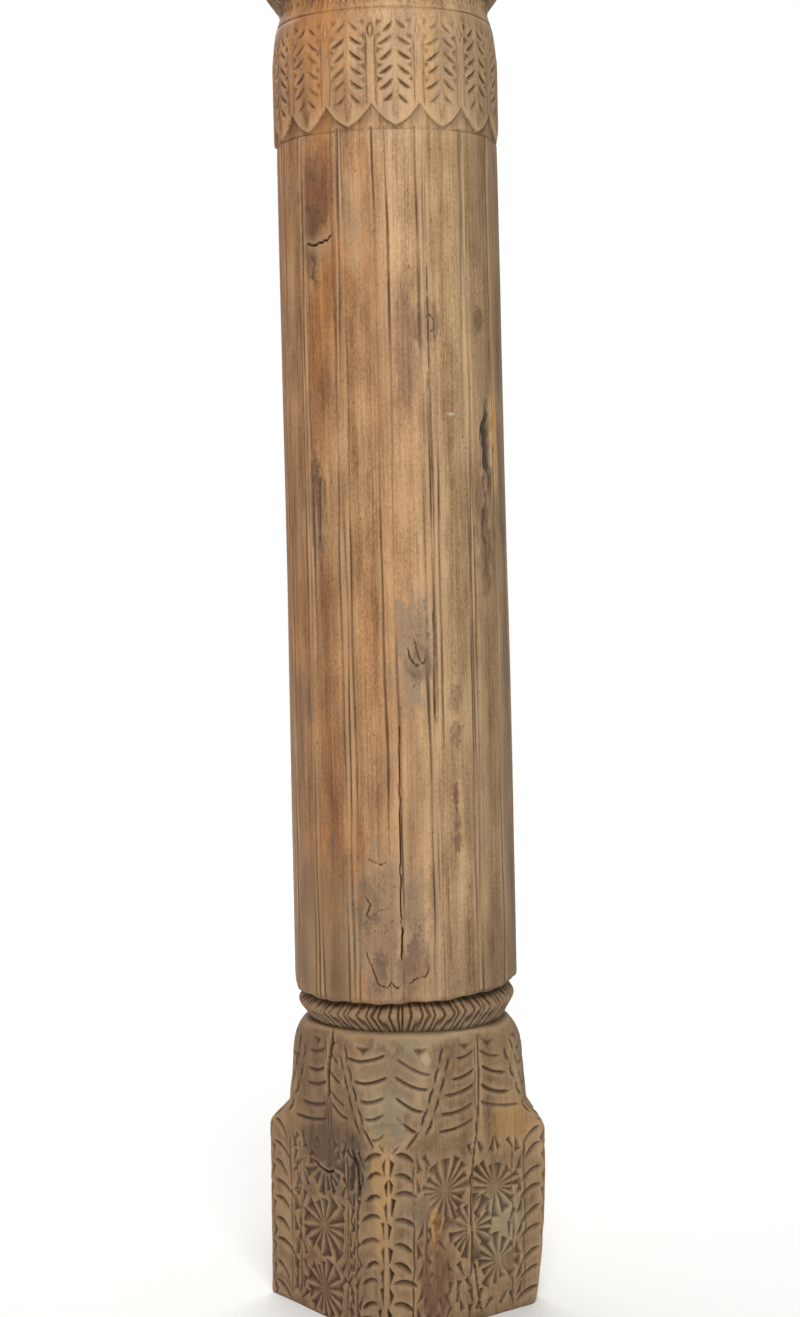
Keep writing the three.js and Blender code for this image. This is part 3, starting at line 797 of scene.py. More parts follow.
def carve_collar(surface, sizes, carving):
    """Leaves of the collar: midrib, drooping cuts, chips beside them and a plain rib over each gap."""
    rng = surface.rng
    pitch = FULL_TURN / carving.leaves
    half = sizes.collar * pitch / 2
    for leaf in range(carving.leaves):
        middle = carving.first_gap + pitch * (leaf + 0.5)
        sheet = round_sheet(surface, middle, 0.7 * pitch, sizes.collar)
        for side in (-1, 1):
            for i in range(LEAF_CUTS):
                high = LEAF_CUT_TOP - i * LEAF_CUT_PITCH + rng.normal(0, 1 * MM)
                reach = rng.uniform(17, 20.5) * MM * (0.75 if i in (0, LEAF_CUTS - 1) else 1)
                start = (side * 1.8 * MM, high)
                end = (side * (1.8 * MM + reach), high - rng.uniform(11, 14.5) * MM)
                depth = 3.4 * MM * rng.uniform(0.75, 1.1)
                sheet.gouge(arc(start, end, -1.6 * MM, 5), 6 * MM, depth, steep=0.3, pointed=1.4)
                x = side * (half - 6.4 * MM)
                chip_y = high - 2 * MM
                if i < LEAF_CUTS - 1:
                    corners = [
                        (x, chip_y + 5 * MM), (x, chip_y - 6 * MM), (x - side * 8 * MM, chip_y + 1 * MM)]
                    sheet.chip(corners, 3 * MM * rng.uniform(0.6, 1.1))
            heights = np.linspace(1409 * MM, 1494 * MM, 8)
            x = side * (half - 5.4 * MM) + rng.normal(0, 0.35 * MM, len(heights))
            sheet.gouge(np.stack([x, heights], axis=1), 2.8 * MM, 1.6 * MM)
            leaf_end = [(side * 2 * MM, 1432 * MM), (side * 4 * MM, 1414 * MM), (0, 1396 * MM)]
            sheet.gouge(leaf_end, 2 * MM, 0.8 * MM)
        gap = round_sheet(surface, middle + pitch / 2, 0.3 * pitch, sizes.collar)
        for side in (-1, 1):
            eye = [(0, 1484 * MM), (side * 3.4 * MM, 1495 * MM), (0, 1507 * MM)]
            gap.gouge(eye, 2.8 * MM, 2 * MM)


def carve_rim_lines(surface, sizes):
    """Lines that run all round the log: at the points of the leaves and along the top of the collar."""
    z = surface.heights[:, None]
    wave = surface.patches(60 * MM, 2)[:1] * 0.9 * MM
    for level, width, depth in ((sizes.collar_bottom - 2 * MM, 2.6, 1.6), (sizes.collar_top, 3, 1.8)):
        line = depth * MM * np.clip(1 - np.abs(z - level - wave) / (width / 2 * MM), 0, 1)
        surface.depth = np.maximum(surface.depth, line)


def carve_neck(surface, sizes):
    """Fine upright strokes of the chisel on the neck."""
    rng = surface.rng
    for i in range(NECK_STROKES):
        middle = FULL_TURN * (i + rng.uniform(-0.3, 0.3)) / NECK_STROKES
        sheet = round_sheet(surface, middle, 10 * DEGREE, 123 * MM)
        lean = rng.normal(0, 1.5 * MM)
        low = sizes.collar_top + rng.uniform(0, 8) * MM
        top = sizes.upper_bottom + rng.uniform(0, 4) * MM
        sheet.gouge([(lean, low), (0, top)], rng.uniform(3, 5) * MM, rng.uniform(1.2, 3) * MM)


def carve_edge_lines(surface, sizes, carving):
    """Lines along the edges of the shaft, which wander and fade as a hand-held scraper leaves them."""
    rng = surface.rng
    inside = np.nonzero((surface.heights > sizes.shaft_bottom) & (surface.heights < sizes.collar_bottom))[0]
    z = surface.heights[inside]
    for edge in range(carving.shaft_sides):
        middle = carving.shaft_turn + (edge + FIRST_EDGE_LINES) * FULL_TURN / carving.shaft_sides
        sheet = round_sheet(surface, middle, 6 * DEGREE, sizes.shaft_foot)
        for offset in EDGE_LINES[edge % len(EDGE_LINES)]:
            waves = rng.uniform(0, FULL_TURN, 5)
            x = offset * MM + 0.9 * MM * np.sin(z / 0.085 + waves[0])
            x = x + 0.5 * MM * np.sin(z / 0.031 + waves[1])
            strength = 0.62 + 0.4 * np.sin(z / 0.11 + waves[2]) + 0.25 * np.sin(z / 0.037 + waves[3])
            width = (2 + 0.5 * np.sin(z / 0.07 + waves[4])) * MM
            cut = np.clip(1 - np.abs(sheet.x[None, :] - x[:, None]) / width[:, None], 0, 1)
            cut *= 2.4 * MM * np.clip(strength, 0.2, 1)[:, None]
            block = np.ix_(inside, sheet.columns)
            surface.depth[block] = np.maximum(surface.depth[block], cut)


def bowl(surface, middle, height, half_x, half_y, x_of_turn):
    """1 in the middle of a ragged oval and 0 outside it."""
    x = x_of_turn(wrapped(surface.angles - middle))[None, :] / half_x
    y = (surface.heights[:, None] - height) / half_y
    ragged = 0.25 * surface.patches(9 * MM, 14 * MM)
    return smooth_step((1 - np.sqrt(x * x + y * y) + ragged) / 0.8)


def flat_across(sizes):
    """Distance across a face of the foot, from a turn off its middle."""
    return lambda turn: np.where(np.abs(turn) < 50 * DEGREE, sizes.foot_half * np.tan(turn), 9)


def wear_log(surface, sizes):
    """Wears the carving where hands and feet have rubbed it, and adds hollows and drying cracks."""
    rng = surface.rng
    uneven = 0.86 + 0.3 * surface.patches(45 * MM, 40 * MM)
    surface.depth *= np.clip(uneven, 0.35, 1.1)
    hollow = np.zeros_like(surface.depth)
    for face, x, y, half_x, half_y, depth in FOOT_HOLLOWS:
        middle = face * QUARTER_TURN
        across = flat_across(sizes)
        oval = bowl(surface, middle, y * MM, half_x * MM, half_y * MM, lambda turn: across(turn) - x * MM)
        surface.depth *= 1 - 0.92 * oval
        hollow = np.maximum(hollow, oval * depth * MM)
    for angle, y, half_x, half_y, depth in HOLLOWS:
        oval = bowl(
            surface, angle * DEGREE, y * MM, half_x * MM, half_y * MM, lambda turn: SHAFT_RADIUS * turn)
        surface.depth *= 1 - 0.85 * oval
        hollow = np.maximum(hollow, oval * depth * MM)
    # Dirt and painted shade in the cuts: the deeper a cut, the darker, less of it on the block; the rings
    # keep their painted shade
    full_levels = [sizes.foot_top, sizes.shaft_bottom, 1380 * MM, 1400 * MM]
    full = np.interp(surface.heights, full_levels, [2.3, 2, 2, 2.8])
    thin = np.interp(surface.heights, [sizes.block_top, sizes.flare_top], [0.42, 1])[:, None]
    surface.dirt_and_shade = np.maximum(thin * np.clip(surface.depth / (full[:, None] * MM), 0, 1), surface.ring_shade)
    carved = surface.depth
    surface.depth = np.zeros_like(carved)
    for places, width, depth in CRACKS:
        middle = places[0][0] * DEGREE
        sheet = round_sheet(surface, middle, 20 * DEGREE, SHAFT_RADIUS)
        path = np.array([(SHAFT_RADIUS * wrapped(a * DEGREE - middle), y * MM) for a, y in places])
        fine = np.linspace(0, len(path) - 1, 4 * len(path))
        x = np.interp(fine, np.arange(len(path)), path[:, 0]) + rng.normal(0, 0.35 * MM, len(fine))
        y = np.interp(fine, np.arange(len(path)), path[:, 1])
        crack = np.stack([x, y], axis=1)
        span = np.linalg.norm(np.diff(crack, axis=0), axis=1).sum()
        sheet.gouge(crack, width * MM, depth * MM, pointed=min(8, 0.2 * span / (width * MM)))
    cracks = surface.depth
    # Cracks painted dark inside: dirt and painted shade
    surface.dirt_and_shade = np.maximum(surface.dirt_and_shade, np.clip(cracks / (1.5 * MM), 0, 1))
    surface.depth = np.maximum(carved, cracks) + hollow


def hewn_surface(surface, sizes):
    """Slight waves that the adze and the drying of the wood have left."""
    z = surface.heights[:, None]
    foot = smooth_step((sizes.foot_top - z) / (20 * MM))
    shaft = smooth_step((z - sizes.shaft_bottom) / (20 * MM))
    shaft = shaft * smooth_step((sizes.collar_bottom - z) / (20 * MM))
    waves = foot * (1.1 * surface.patches(70 * MM, 60 * MM) + 0.5 * surface.patches(22 * MM, 20 * MM))
    waves += shaft * (0.8 * surface.patches(60 * MM, 260 * MM) + 0.35 * surface.patches(14 * MM, 180 * MM))
    return waves * MM


def carve_surface(sizes, carving):
    """The whole surface of the log: its form, its carving and its wear."""
    levels = log_levels(sizes)
    rows = 2 ** HALVINGS * (len(levels) - 1) + 1
    heights = np.interp(np.arange(rows), np.arange(len(levels)) * 2 ** HALVINGS, levels)
    even = FULL_TURN * np.arange(BLANK_COLUMNS * 2 ** HALVINGS) / (BLANK_COLUMNS * 2 ** HALVINGS) - math.pi
    angles = even - CORNER_CROWDING / 4 * np.sin(4 * (even - QUARTER_TURN / 2))
    surface = LogSurface(heights, angles, np.random.default_rng(CARVER_SEED))
    shape_log(surface, sizes, carving)
    carve_corner_bands(surface, sizes, carving)
    for face in range(4):
        on_x = face % 2 == 0
        rosettes = ROSETTES_ON_X_FACES if on_x else ROSETTES_ON_Y_FACES
        carve_fillets(surface, sizes, face, (-8 * MM, 48 * MM) if on_x else (0, 64 * MM))
        for place in rosettes:
            carve_rosette(surface, sizes, carving, face, place)
        carve_spandrels(surface, sizes, face, rosettes)
    carve_drum(surface, carving)
    carve_collar(surface, sizes, carving)
    carve_rim_lines(surface, sizes)
    carve_neck(surface, sizes)
    carve_edge_lines(surface, sizes, carving)
    wear_log(surface, sizes)
    on_face = surface.angles - QUARTER_TURN * np.round(surface.angles / QUARTER_TURN)
    slant = np.where(heights[:, None] < sizes.flare_top, 1 / np.cos(on_face)[None, :], 1)
    surface.radius = surface.radius - surface.depth * slant + hewn_surface(surface, sizes)
    return surface, levels


def log_levels(sizes):
    """Heights at which the blank is drawn, close together where the carving is fine."""
    under, over = sizes.shaft_bottom - LEDGE_HALF, sizes.shaft_bottom + LEDGE_HALF
    rim = sizes.shaft_bottom + 5 * MM
    return np.concatenate([
        spaced(0, sizes.foot_top, 11.6 * MM),
        spaced(sizes.foot_top, under, 5.5 * MM),
        [under],
        spaced(over, rim, 5 * MM),
        spaced(rim, 570 * MM, 15 * MM),
        spaced(570 * MM, 690 * MM, 60 * MM),
        spaced(690 * MM, 850 * MM, 20 * MM),
        spaced(850 * MM, 1140 * MM, 36 * MM),
        spaced(1140 * MM, 1282 * MM, 16 * MM),
        spaced(1282 * MM, sizes.collar_bottom - 6 * MM, 50 * MM),
        spaced(sizes.collar_bottom - 6 * MM, sizes.collar_top, 10.7 * MM),
        spaced(sizes.collar_top, sizes.upper_top, 5.6 * MM),
        spaced(sizes.upper_top, sizes.height, 9 * MM),
        [sizes.height],
    ])


def draw_blank(levels, radii):
    """The blank: a circle drawn up level by level, halved to a fine net."""
    bpy.ops.object.select_all(action="DESELECT")
    bpy.ops.mesh.primitive_circle_add(vertices=BLANK_COLUMNS, radius=radii[0], location=(0, 0, levels[0]))
    blank = bpy.context.object
    blank.name = LOG_PIECE
    blank.data.name = LOG_PIECE
    bpy.ops.object.mode_set(mode="EDIT")
    bpy.ops.mesh.select_all(action="SELECT")
    for i in range(1, len(levels)):
        bpy.ops.mesh.extrude_region_move(TRANSFORM_OT_translate={"value": (0, 0, levels[i] - levels[i - 1])})
        widening = radii[i] / radii[i - 1]
        bpy.ops.transform.resize(value=(widening, widening, 1))
    bpy.ops.object.mode_set(mode="OBJECT")
    net = blank.modifiers.new("Fine net", "SUBSURF")
    net.subdivision_type = "SIMPLE"
    net.levels = net.render_levels = HALVINGS
    bpy.ops.object.modifier_apply(modifier=net.name)
    return blank


def vertex_places(mesh):
    """Places of a mesh's vertices."""
    places = np.empty(len(mesh.vertices) * 3)
    mesh.vertices.foreach_get("co", places)
    return places.reshape(-1, 3)


def press_surface(blank, surface, sizes):
    """Moves every vertex of the blank to its own place on the carved surface."""
    places = vertex_places(blank.data)
    chord = FULL_TURN / BLANK_COLUMNS
    turn = np.arctan2(places[:, 1], places[:, 0]) + math.pi
    along = turn % chord - chord / 2
    fine = (np.floor(turn / chord) + 0.5 + np.tan(along) / (2 * math.tan(chord / 2))) * 2 ** HALVINGS
    columns = np.round(fine).astype(int) % len(surface.angles)
    rows = np.round(np.interp(places[:, 2], surface.heights, np.arange(len(surface.heights)))).astype(int)
    radius = surface.radius[rows, columns]
    angle = surface.angles[columns]
    height = surface.heights[rows]
    aside = sweep(height)
    places[:, 0] = radius * np.cos(angle) + aside * math.cos(SWEEP_ANGLE)
    places[:, 1] = radius * np.sin(angle) + aside * math.sin(SWEEP_ANGLE)
    places[:, 2] = height + edge_slant(height, angle, sizes)
    blank.data.vertices.foreach_set("co", places.ravel())
    blank.data.update()


def close_and_thin(log):
    """Closes the two sawn ends, and thins the net where the surface is plain."""
    bpy.ops.object.mode_set(mode="EDIT")
    bpy.ops.mesh.select_all(action="SELECT")
    bpy.ops.mesh.fill_holes(sides=0)
    bpy.ops.mesh.select_all(action="SELECT")
    bpy.ops.mesh.normals_make_consistent(inside=False)
    bpy.ops.object.mode_set(mode="OBJECT")
    log.data.calc_loop_triangles()
    thin = log.modifiers.new("Thin net", "DECIMATE")
    thin.ratio = FINISHED_TRIANGLES / len(log.data.loop_triangles)
    bpy.ops.object.modifier_apply(modifier=thin.name)
    bpy.ops.object.shade_smooth_by_angle(angle=SMOOTH_ANGLE)


def keep_values(log, surface, sizes):
    """Keeps on the mesh what the wood's colour needs: dirt with painted shade in cuts and creases, rubbed
    edges with painted highlights on ridges, and weathering and warmth with painted shade on the two sides.
    """
    places = vertex_places(log.data)
    aside = sweep(places[:, 2])
    x = places[:, 0] - aside * math.cos(SWEEP_ANGLE)
    y = places[:, 1] - aside * math.sin(SWEEP_ANGLE)
    angles, heights = np.arctan2(y, x), places[:, 2]
    for _ in range(3):
        heights = places[:, 2] - edge_slant(heights, angles, sizes)
    hill = surface.radius - surface.softened(surface.radius, 5 * MM)
    hill[np.abs(surface.heights - sizes.shaft_bottom) < 6 * MM] = 0
    z = surface.heights[:, None]
    # Painted side shade: the left side turns warmer and darker, the right side greyer and darker
    left = np.cos(surface.angles - 165 * DEGREE)[None, :]
    right = np.clip(np.cos(surface.angles - SWEEP_ANGLE), 0, 1)[None, :]
    weathered_and_side_shade = 0.6 * smooth_step((sizes.foot_top + 40 * MM - z) / (60 * MM))
    weathered_and_side_shade = weathered_and_side_shade + 0.32 * smooth_step((560 * MM - z) / (170 * MM)) + 0.85 * right ** 1.5
    weathered_and_side_shade = weathered_and_side_shade + 0.08 + 0.12 * surface.patches(90 * MM, 120 * MM)
    # Painted shade in the creases of the foot and in every hollow of the surface, added to the dirt
    valley = surface.softened(surface.radius, 2.4 * MM) - surface.radius
    valley = np.clip(valley / (0.5 * MM), 0, 1) * smooth_step((sizes.foot_top - z) / (20 * MM))
    dirt_and_shade = np.maximum(surface.dirt_and_shade, 0.6 * np.clip(-hill / (1.4 * MM), 0, 1))
    values = {
        "dirt_and_shade": np.maximum(dirt_and_shade, valley),
        # Convex ridges painted pale: rubbed wear and painted highlight
        "rubbed_and_highlit": np.clip(hill / (0.9 * MM), 0, 1) * np.where(z < sizes.foot_top, 0.6, 1),
        "weathered_and_side_shade": np.clip(weathered_and_side_shade, 0, 1),
        "warmth_and_side_shade": np.clip(0.25 + 0.7 * left + 0.25 * surface.patches(60 * MM, 260 * MM), 0, 1),
    }
    for name, value in values.items():
        attribute = log.data.attributes.new(name, "FLOAT", "POINT")
        attribute.data.foreach_set("value", surface.sampled(value, angles, heights).astype(np.float32))


def add_node(tree, kind, inputs=None, **settings):
    """Adds one node with its settings, and sets or links its inputs."""
    node = tree.nodes.new(kind)
    for name, value in settings.items():
        setattr(node, name, value)
    for name, value in (inputs or {}).items():
        if isinstance(value, bpy.types.NodeSocket):
            tree.links.new(value, node.inputs[name])
        else:
            node.inputs[name].default_value = value
    return node


# Stains on the shaft and foot, and painted shade in one deep hollow: colour, angle in degrees, height, half
# width, half height in mm and strength
STAINS = [
    ("grey", -174, 450, 60, 110, 0.5),
    ("knot", -72, 368, 70, 22, 0.5),
    ("broken", -104, 1455, 7, 62, 0.35),
    ("warm", -160, 1500, 34, 26, 0.5),
    ("warm", -160, 1420, 12, 50, 0.4),
    ("ash", -88, 1450, 22, 46, 0.4),
    ("red", -167.5, 1308, 19, 52, 0.65),
    ("knot", -168, 1262, 14, 40, 0.6),
    ("filler", -144, 1290, 10, 56, 0.25),
    ("knot", -107, 1166, 15, 24, 0.55),
    ("knot", -74.5, 1173, 8, 13, 0.6),
    ("knot", -118, 1140, 12, 70, 0.3),
    ("knot", -169, 962, 12, 56, 0.7),
    ("broken", -62.5, 1034, 7, 50, 0.9),
    # Painted shade on the floor of the deep hollow beside the broken wood
    ("rot", -70.5, 1026, 12, 46, 0.85),
    ("knot", -73.5, 930, 17, 60, 0.65),
    ("ash", -117, 792, 22, 60, 0.7),
    ("knot", -115, 780, 13, 22, 0.5),
    ("red", -97, 624, 3.5, 15, 0.85),
    ("knot", -96.5, 597, 5, 12, 0.5),
    ("knot", -96.5, 572, 6, 10, 0.6),
    ("knot", -96.5, 736, 8, 14, 0.4),
    ("knot", -96.5, 696, 7, 14, 0.45),
    ("ash", -131.5, 478, 44, 82, 0.6),
    ("knot", -138, 424, 9, 22, 0.55),
    ("knot", -122, 428, 16, 32, 0.5),
    ("knot", -144, 500, 12, 30, 0.4),
    ("filler", -94.8, 1064, 4, 2, 0.9),
    ("filler", -133, 292, 46, 44, 0.22),
    ("lichen", -135, 252, 24, 30, 0.6),
    ("filler", -115.8, 322, 6, 6, 0.6),
    ("broken", -136.5, 190, 13, 42, 0.6),
    ("broken", -138, 130, 8, 36, 0.4),
    ("rot", -155, 188, 20, 36, 0.85),
    ("knot", 176.2, 204, 38, 36, 0.7),
    ("rot", -178, 166, 22, 16, 0.45),
    ("ash", -121, 150, 26, 26, 0.5),
    ("broken", -112.2, 122, 7, 22, 0.8),
    ("red", -113, 66, 24, 66, 0.4),
    ("lichen", -68, 110, 26, 34, 0.5),
    ("broken", -60, 226, 30, 30, 0.35),
    ("red", 165, 60, 40, 44, 0.3),
    ("knot", 168, 262, 34, 30, 0.35),
    ("lichen", -112, 350, 90, 14, 0.5),
]

# Stains narrower than this half width in mm have a finer edge, and some kinds of stain are crazed
SMALL_STAIN = 9
CRAZED_STAINS = ("knot", "ash", "rot", "red")

# How far a stain reaches into the wood, how much the grain frays it, and where it fades out and is full
STAIN_REACH = 90 * MM
STAIN_FRAY = 2.2
STAIN_EDGE = (2.4, 1.9)

# Values that the carving leaves on the mesh
KEPT_VALUES = ("dirt_and_shade", "rubbed_and_highlit", "weathered_and_side_shade", "warmth_and_side_shade")

# Grain: width and length of its streaks or flecks in mm, and detail
GRAIN = {
    "fine": (2.2, 160, 3),
    "broad": (14, 700, 4),
    "clouds": (55, 220, 3),
    "pores": (1.3, 60, 2),
    "mottle": (24, 75, 5),
    "grit": (2.4, 4, 4),
    "flecks": (3.2, 6, 1),
    "dull": (8, 420, 4),
    "ragged": (8, 17, 7),
    "small_ragged": (3, 7, 6),
    "crazed": (3.4, 4.5, 5),
    "clumps": (16, 22, 2),
}

# Weights of the grains that make the streaks together with the broad one, and the range from dark to pale
STREAK_WEIGHTS = {"fine": 0.9, "mottle": 1.4, "grit": 0.9}
STREAK_RANGE = (1.65, 2.5)

# Shares that the grains give to a layer: the grain, its range, and the share at both ends of the range
GRAIN_SHARES = {
    "dull": ("dull", 0.5, 0.64, 0, 0.4),
    "warmth_and_side_shade": ("clouds", 0.3, 0.65, 0.45, 1),
    "weathered_and_side_shade": ("clouds", 0.2, 0.8, 0.55, 1),
    "pores": ("pores", 0.42, 0.24, 0, 0.5),
    "flecks": ("flecks", 0.68, 0.8, 0, 0.6),
    "crazed": ("crazed", 0.52, 0.66, 0, 1),
    "clumps": ("clumps", 0.47, 0.6, 0, 1),
}

# Wood rubbed pale with painted highlights on ridges, dirt and painted shade in the cuts, roughness of oiled
# and of dry wood, and the relief of the grain
RUBBED_AND_HIGHLIGHT_SHARE = 0.6
DIRT_AND_SHADE_START, DIRT_AND_SHADE_SHARE = 0.1, 0.82
OILED_ROUGHNESS, DRY_ROUGHNESS = 0.52, 0.78
RELIEF_STRENGTH, RELIEF_HEIGHT = 0.35, 0.7 * MM


def aged_wood(colours):
    """Old cedar, hewn with an adze, carved with gouges and handled for generations.

    It gives the eye upright streaks, a soft waxy gloss where hands have been, dark dirt and painted shade in
    every cut, ridges painted pale as rubbed wear and as highlight, the two sides painted darker as shade, and
    a dry grey foot.
    """
    material = bpy.data.materials.new("Aged cedar, hewn, carved and handled")
    material.use_nodes = True
    tree = material.node_tree
    tree.nodes.clear()
    place = add_node(tree, "ShaderNodeTexCoord").outputs["Object"]

    # Values that the carving has left on the mesh, grain of given sizes, and the shares that it gives
    kept = {}
    for name in KEPT_VALUES:
        kept[name] = add_node(tree, "ShaderNodeAttribute", attribute_name=name).outputs["Fac"]
    grain = {}
    for name, (width, length, detail) in GRAIN.items():
        scale = (1 / (width * MM), 1 / (width * MM), 1 / (length * MM))
        stretched = add_node(tree, "ShaderNodeMapping", {"Vector": place, "Scale": scale})
        noise = add_node(
            tree, "ShaderNodeTexNoise", {"Vector": stretched.outputs[0], "Scale": 1, "Detail": detail})
        grain[name] = noise.outputs[0]

    share = {}
    for name, (of, low, high, at_low, at_high) in GRAIN_SHARES.items():
        ends = {"From Min": low, "From Max": high, "To Min": at_low, "To Max": at_high}
        share[name] = add_node(tree, "ShaderNodeMapRange", {"Value": grain[of], **ends}).outputs[0]
    for name in ("warmth_and_side_shade", "weathered_and_side_shade"):
        share[name] = add_node(
            tree, "ShaderNodeMath", {0: kept[name], 1: share[name]}, operation="MULTIPLY").outputs[0]

    # Plain, oiled and weathered wood between dark and pale streaks
    streaks = grain["broad"]
    for name, weight in STREAK_WEIGHTS.items():
        streaks = add_node(
            tree, "ShaderNodeMath", {0: grain[name], 1: weight, 2: streaks},
            operation="MULTIPLY_ADD").outputs[0]
    paleness = add_node(
        tree, "ShaderNodeMapRange",
        {"Value": streaks, "From Min": STREAK_RANGE[0], "From Max": STREAK_RANGE[1]}).outputs[0]
    woods = []
    for dark, light in (("streak", "pale"), ("warm_streak", "warm"), ("grey_streak", "grey")):
        ends = {6: (*getattr(colours, dark), 1), 7: (*getattr(colours, light), 1)}
        woods.append(add_node(tree, "ShaderNodeMix", {0: paleness, **ends}, data_type="RGBA").outputs[2])
    wood, warm_wood, grey_wood = woods

    # Layers over the plain wood: dull streaks, oiled and weathered wood that also paint shade on the two
    # sides, thin dark pores and dark flecks
    dirt_and_shade = (*colours.dirt_and_shade, 1)
    layers = [
        (share["dull"], (*colours.ash, 1)),
        (share["warmth_and_side_shade"], warm_wood),
        (share["weathered_and_side_shade"], grey_wood),
        (share["pores"], dirt_and_shade),
        (share["flecks"], dirt_and_shade),
    ]

    # Stains, and painted shade in one hollow: ragged ovals on the surface
    blemish = 0
    for name, angle, height, half_width, half_height, strength in STAINS:
        turn = angle * DEGREE
        spot = (SHAFT_RADIUS * math.cos(turn), SHAFT_RADIUS * math.sin(turn), height * MM)
        local = add_node(
            tree, "ShaderNodeMapping",
            {"Vector": place, "Location": spot, "Rotation": (0, 0, turn),
             "Scale": (STAIN_REACH, half_width * MM, half_height * MM)},
            vector_type="TEXTURE")
        away = add_node(
            tree, "ShaderNodeVectorMath", {0: local.outputs[0]}, operation="LENGTH").outputs["Value"]
        ragged = grain["ragged"] if half_width > SMALL_STAIN else grain["small_ragged"]
        away = add_node(
            tree, "ShaderNodeMath", {0: ragged, 1: STAIN_FRAY, 2: away}, operation="MULTIPLY_ADD").outputs[0]
        mask = add_node(
            tree, "ShaderNodeMapRange",
            {"Value": away, "From Min": STAIN_EDGE[0], "From Max": STAIN_EDGE[1],
             "To Min": 0, "To Max": strength}).outputs[0]
        layers.append((mask, (*getattr(colours, name), 1)))
        if name in CRAZED_STAINS:
            blemish = add_node(tree, "ShaderNodeMath", {0: blemish, 1: mask}, operation="MAXIMUM").outputs[0]

    # Small dark flecks where stained wood has crazed, rubbed edges with painted highlights on ridges, and
    # dirt with painted shade in the cuts
    crazed = share["crazed"]
    for part in (share["clumps"], blemish):
        crazed = add_node(tree, "ShaderNodeMath", {0: crazed, 1: part}, operation="MULTIPLY").outputs[0]
    rubbed_and_highlit = add_node(
        tree, "ShaderNodeMath", {0: kept["rubbed_and_highlit"], 1: RUBBED_AND_HIGHLIGHT_SHARE}, operation="MULTIPLY").outputs[0]
    dirt_and_shade_amount = add_node(
        tree, "ShaderNodeMapRange",
        {"Value": kept["dirt_and_shade"], "From Min": DIRT_AND_SHADE_START, "From Max": 1, "To Max": DIRT_AND_SHADE_SHARE}).outputs[0]
    layers += [(crazed, dirt_and_shade), (rubbed_and_highlit, (*colours.worn_and_highlit, 1)), (dirt_and_shade_amount, dirt_and_shade)]
    for amount, paint in layers:
        wood = add_node(tree, "ShaderNodeMix", {0: amount, 6: wood, 7: paint}, data_type="RGBA").outputs[2]

    # Roughness and the relief of the grain
    gloss = add_node(
        tree, "ShaderNodeMapRange",
        {"Value": share["weathered_and_side_shade"], "To Min": OILED_ROUGHNESS, "To Max": DRY_ROUGHNESS}).outputs[0]
    relief = add_node(
        tree, "ShaderNodeMath", {0: grain["fine"], 1: grain["pores"]}, operation="ADD").outputs[0]
    bump = add_node(
        tree, "ShaderNodeBump",
        {"Height": relief, "Strength": RELIEF_STRENGTH, "Distance": RELIEF_HEIGHT}).outputs[0]
    shader = add_node(
        tree, "ShaderNodeBsdfPrincipled",
        {"Base Color": wood, "Roughness": gloss, "Normal": bump, "IOR": 1.5})
    add_node(tree, "ShaderNodeOutputMaterial", {"Surface": shader.outputs[0]})
    return material


def studio_paper(colours):
    """White background paper: matt, even, with no grain that shows."""
    material = bpy.data.materials.new("Matt white studio paper")
    material.use_nodes = True
    shader = material.node_tree.nodes["Principled BSDF"]
    shader.inputs["Base Color"].default_value = (*colours.floor, 1)
    shader.inputs["Roughness"].default_value = 0.9
    return material


class PILLAR_OT_carve(bpy.types.Operator):
    """Model the log with its carving, wear and aged wood"""

    bl_idname = "pillar.carve"
    bl_label = "Carve pillar"

    def execute(self, context):
        scene = context.scene
        surface, levels = carve_surface(scene.pillar_sizes, scene.pillar_carving)
        radii = surface.at_heights(surface.radius, levels).mean(axis=1)
        log = draw_blank(levels, radii)
        press_surface(log, surface, scene.pillar_sizes)
        close_and_thin(log)
        keep_values(log, surface, scene.pillar_sizes)
        log.data.materials.append(aged_wood(scene.pillar_colours))
        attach(log, "root")
        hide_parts(LOG_NODE)
        return {"FINISHED"}


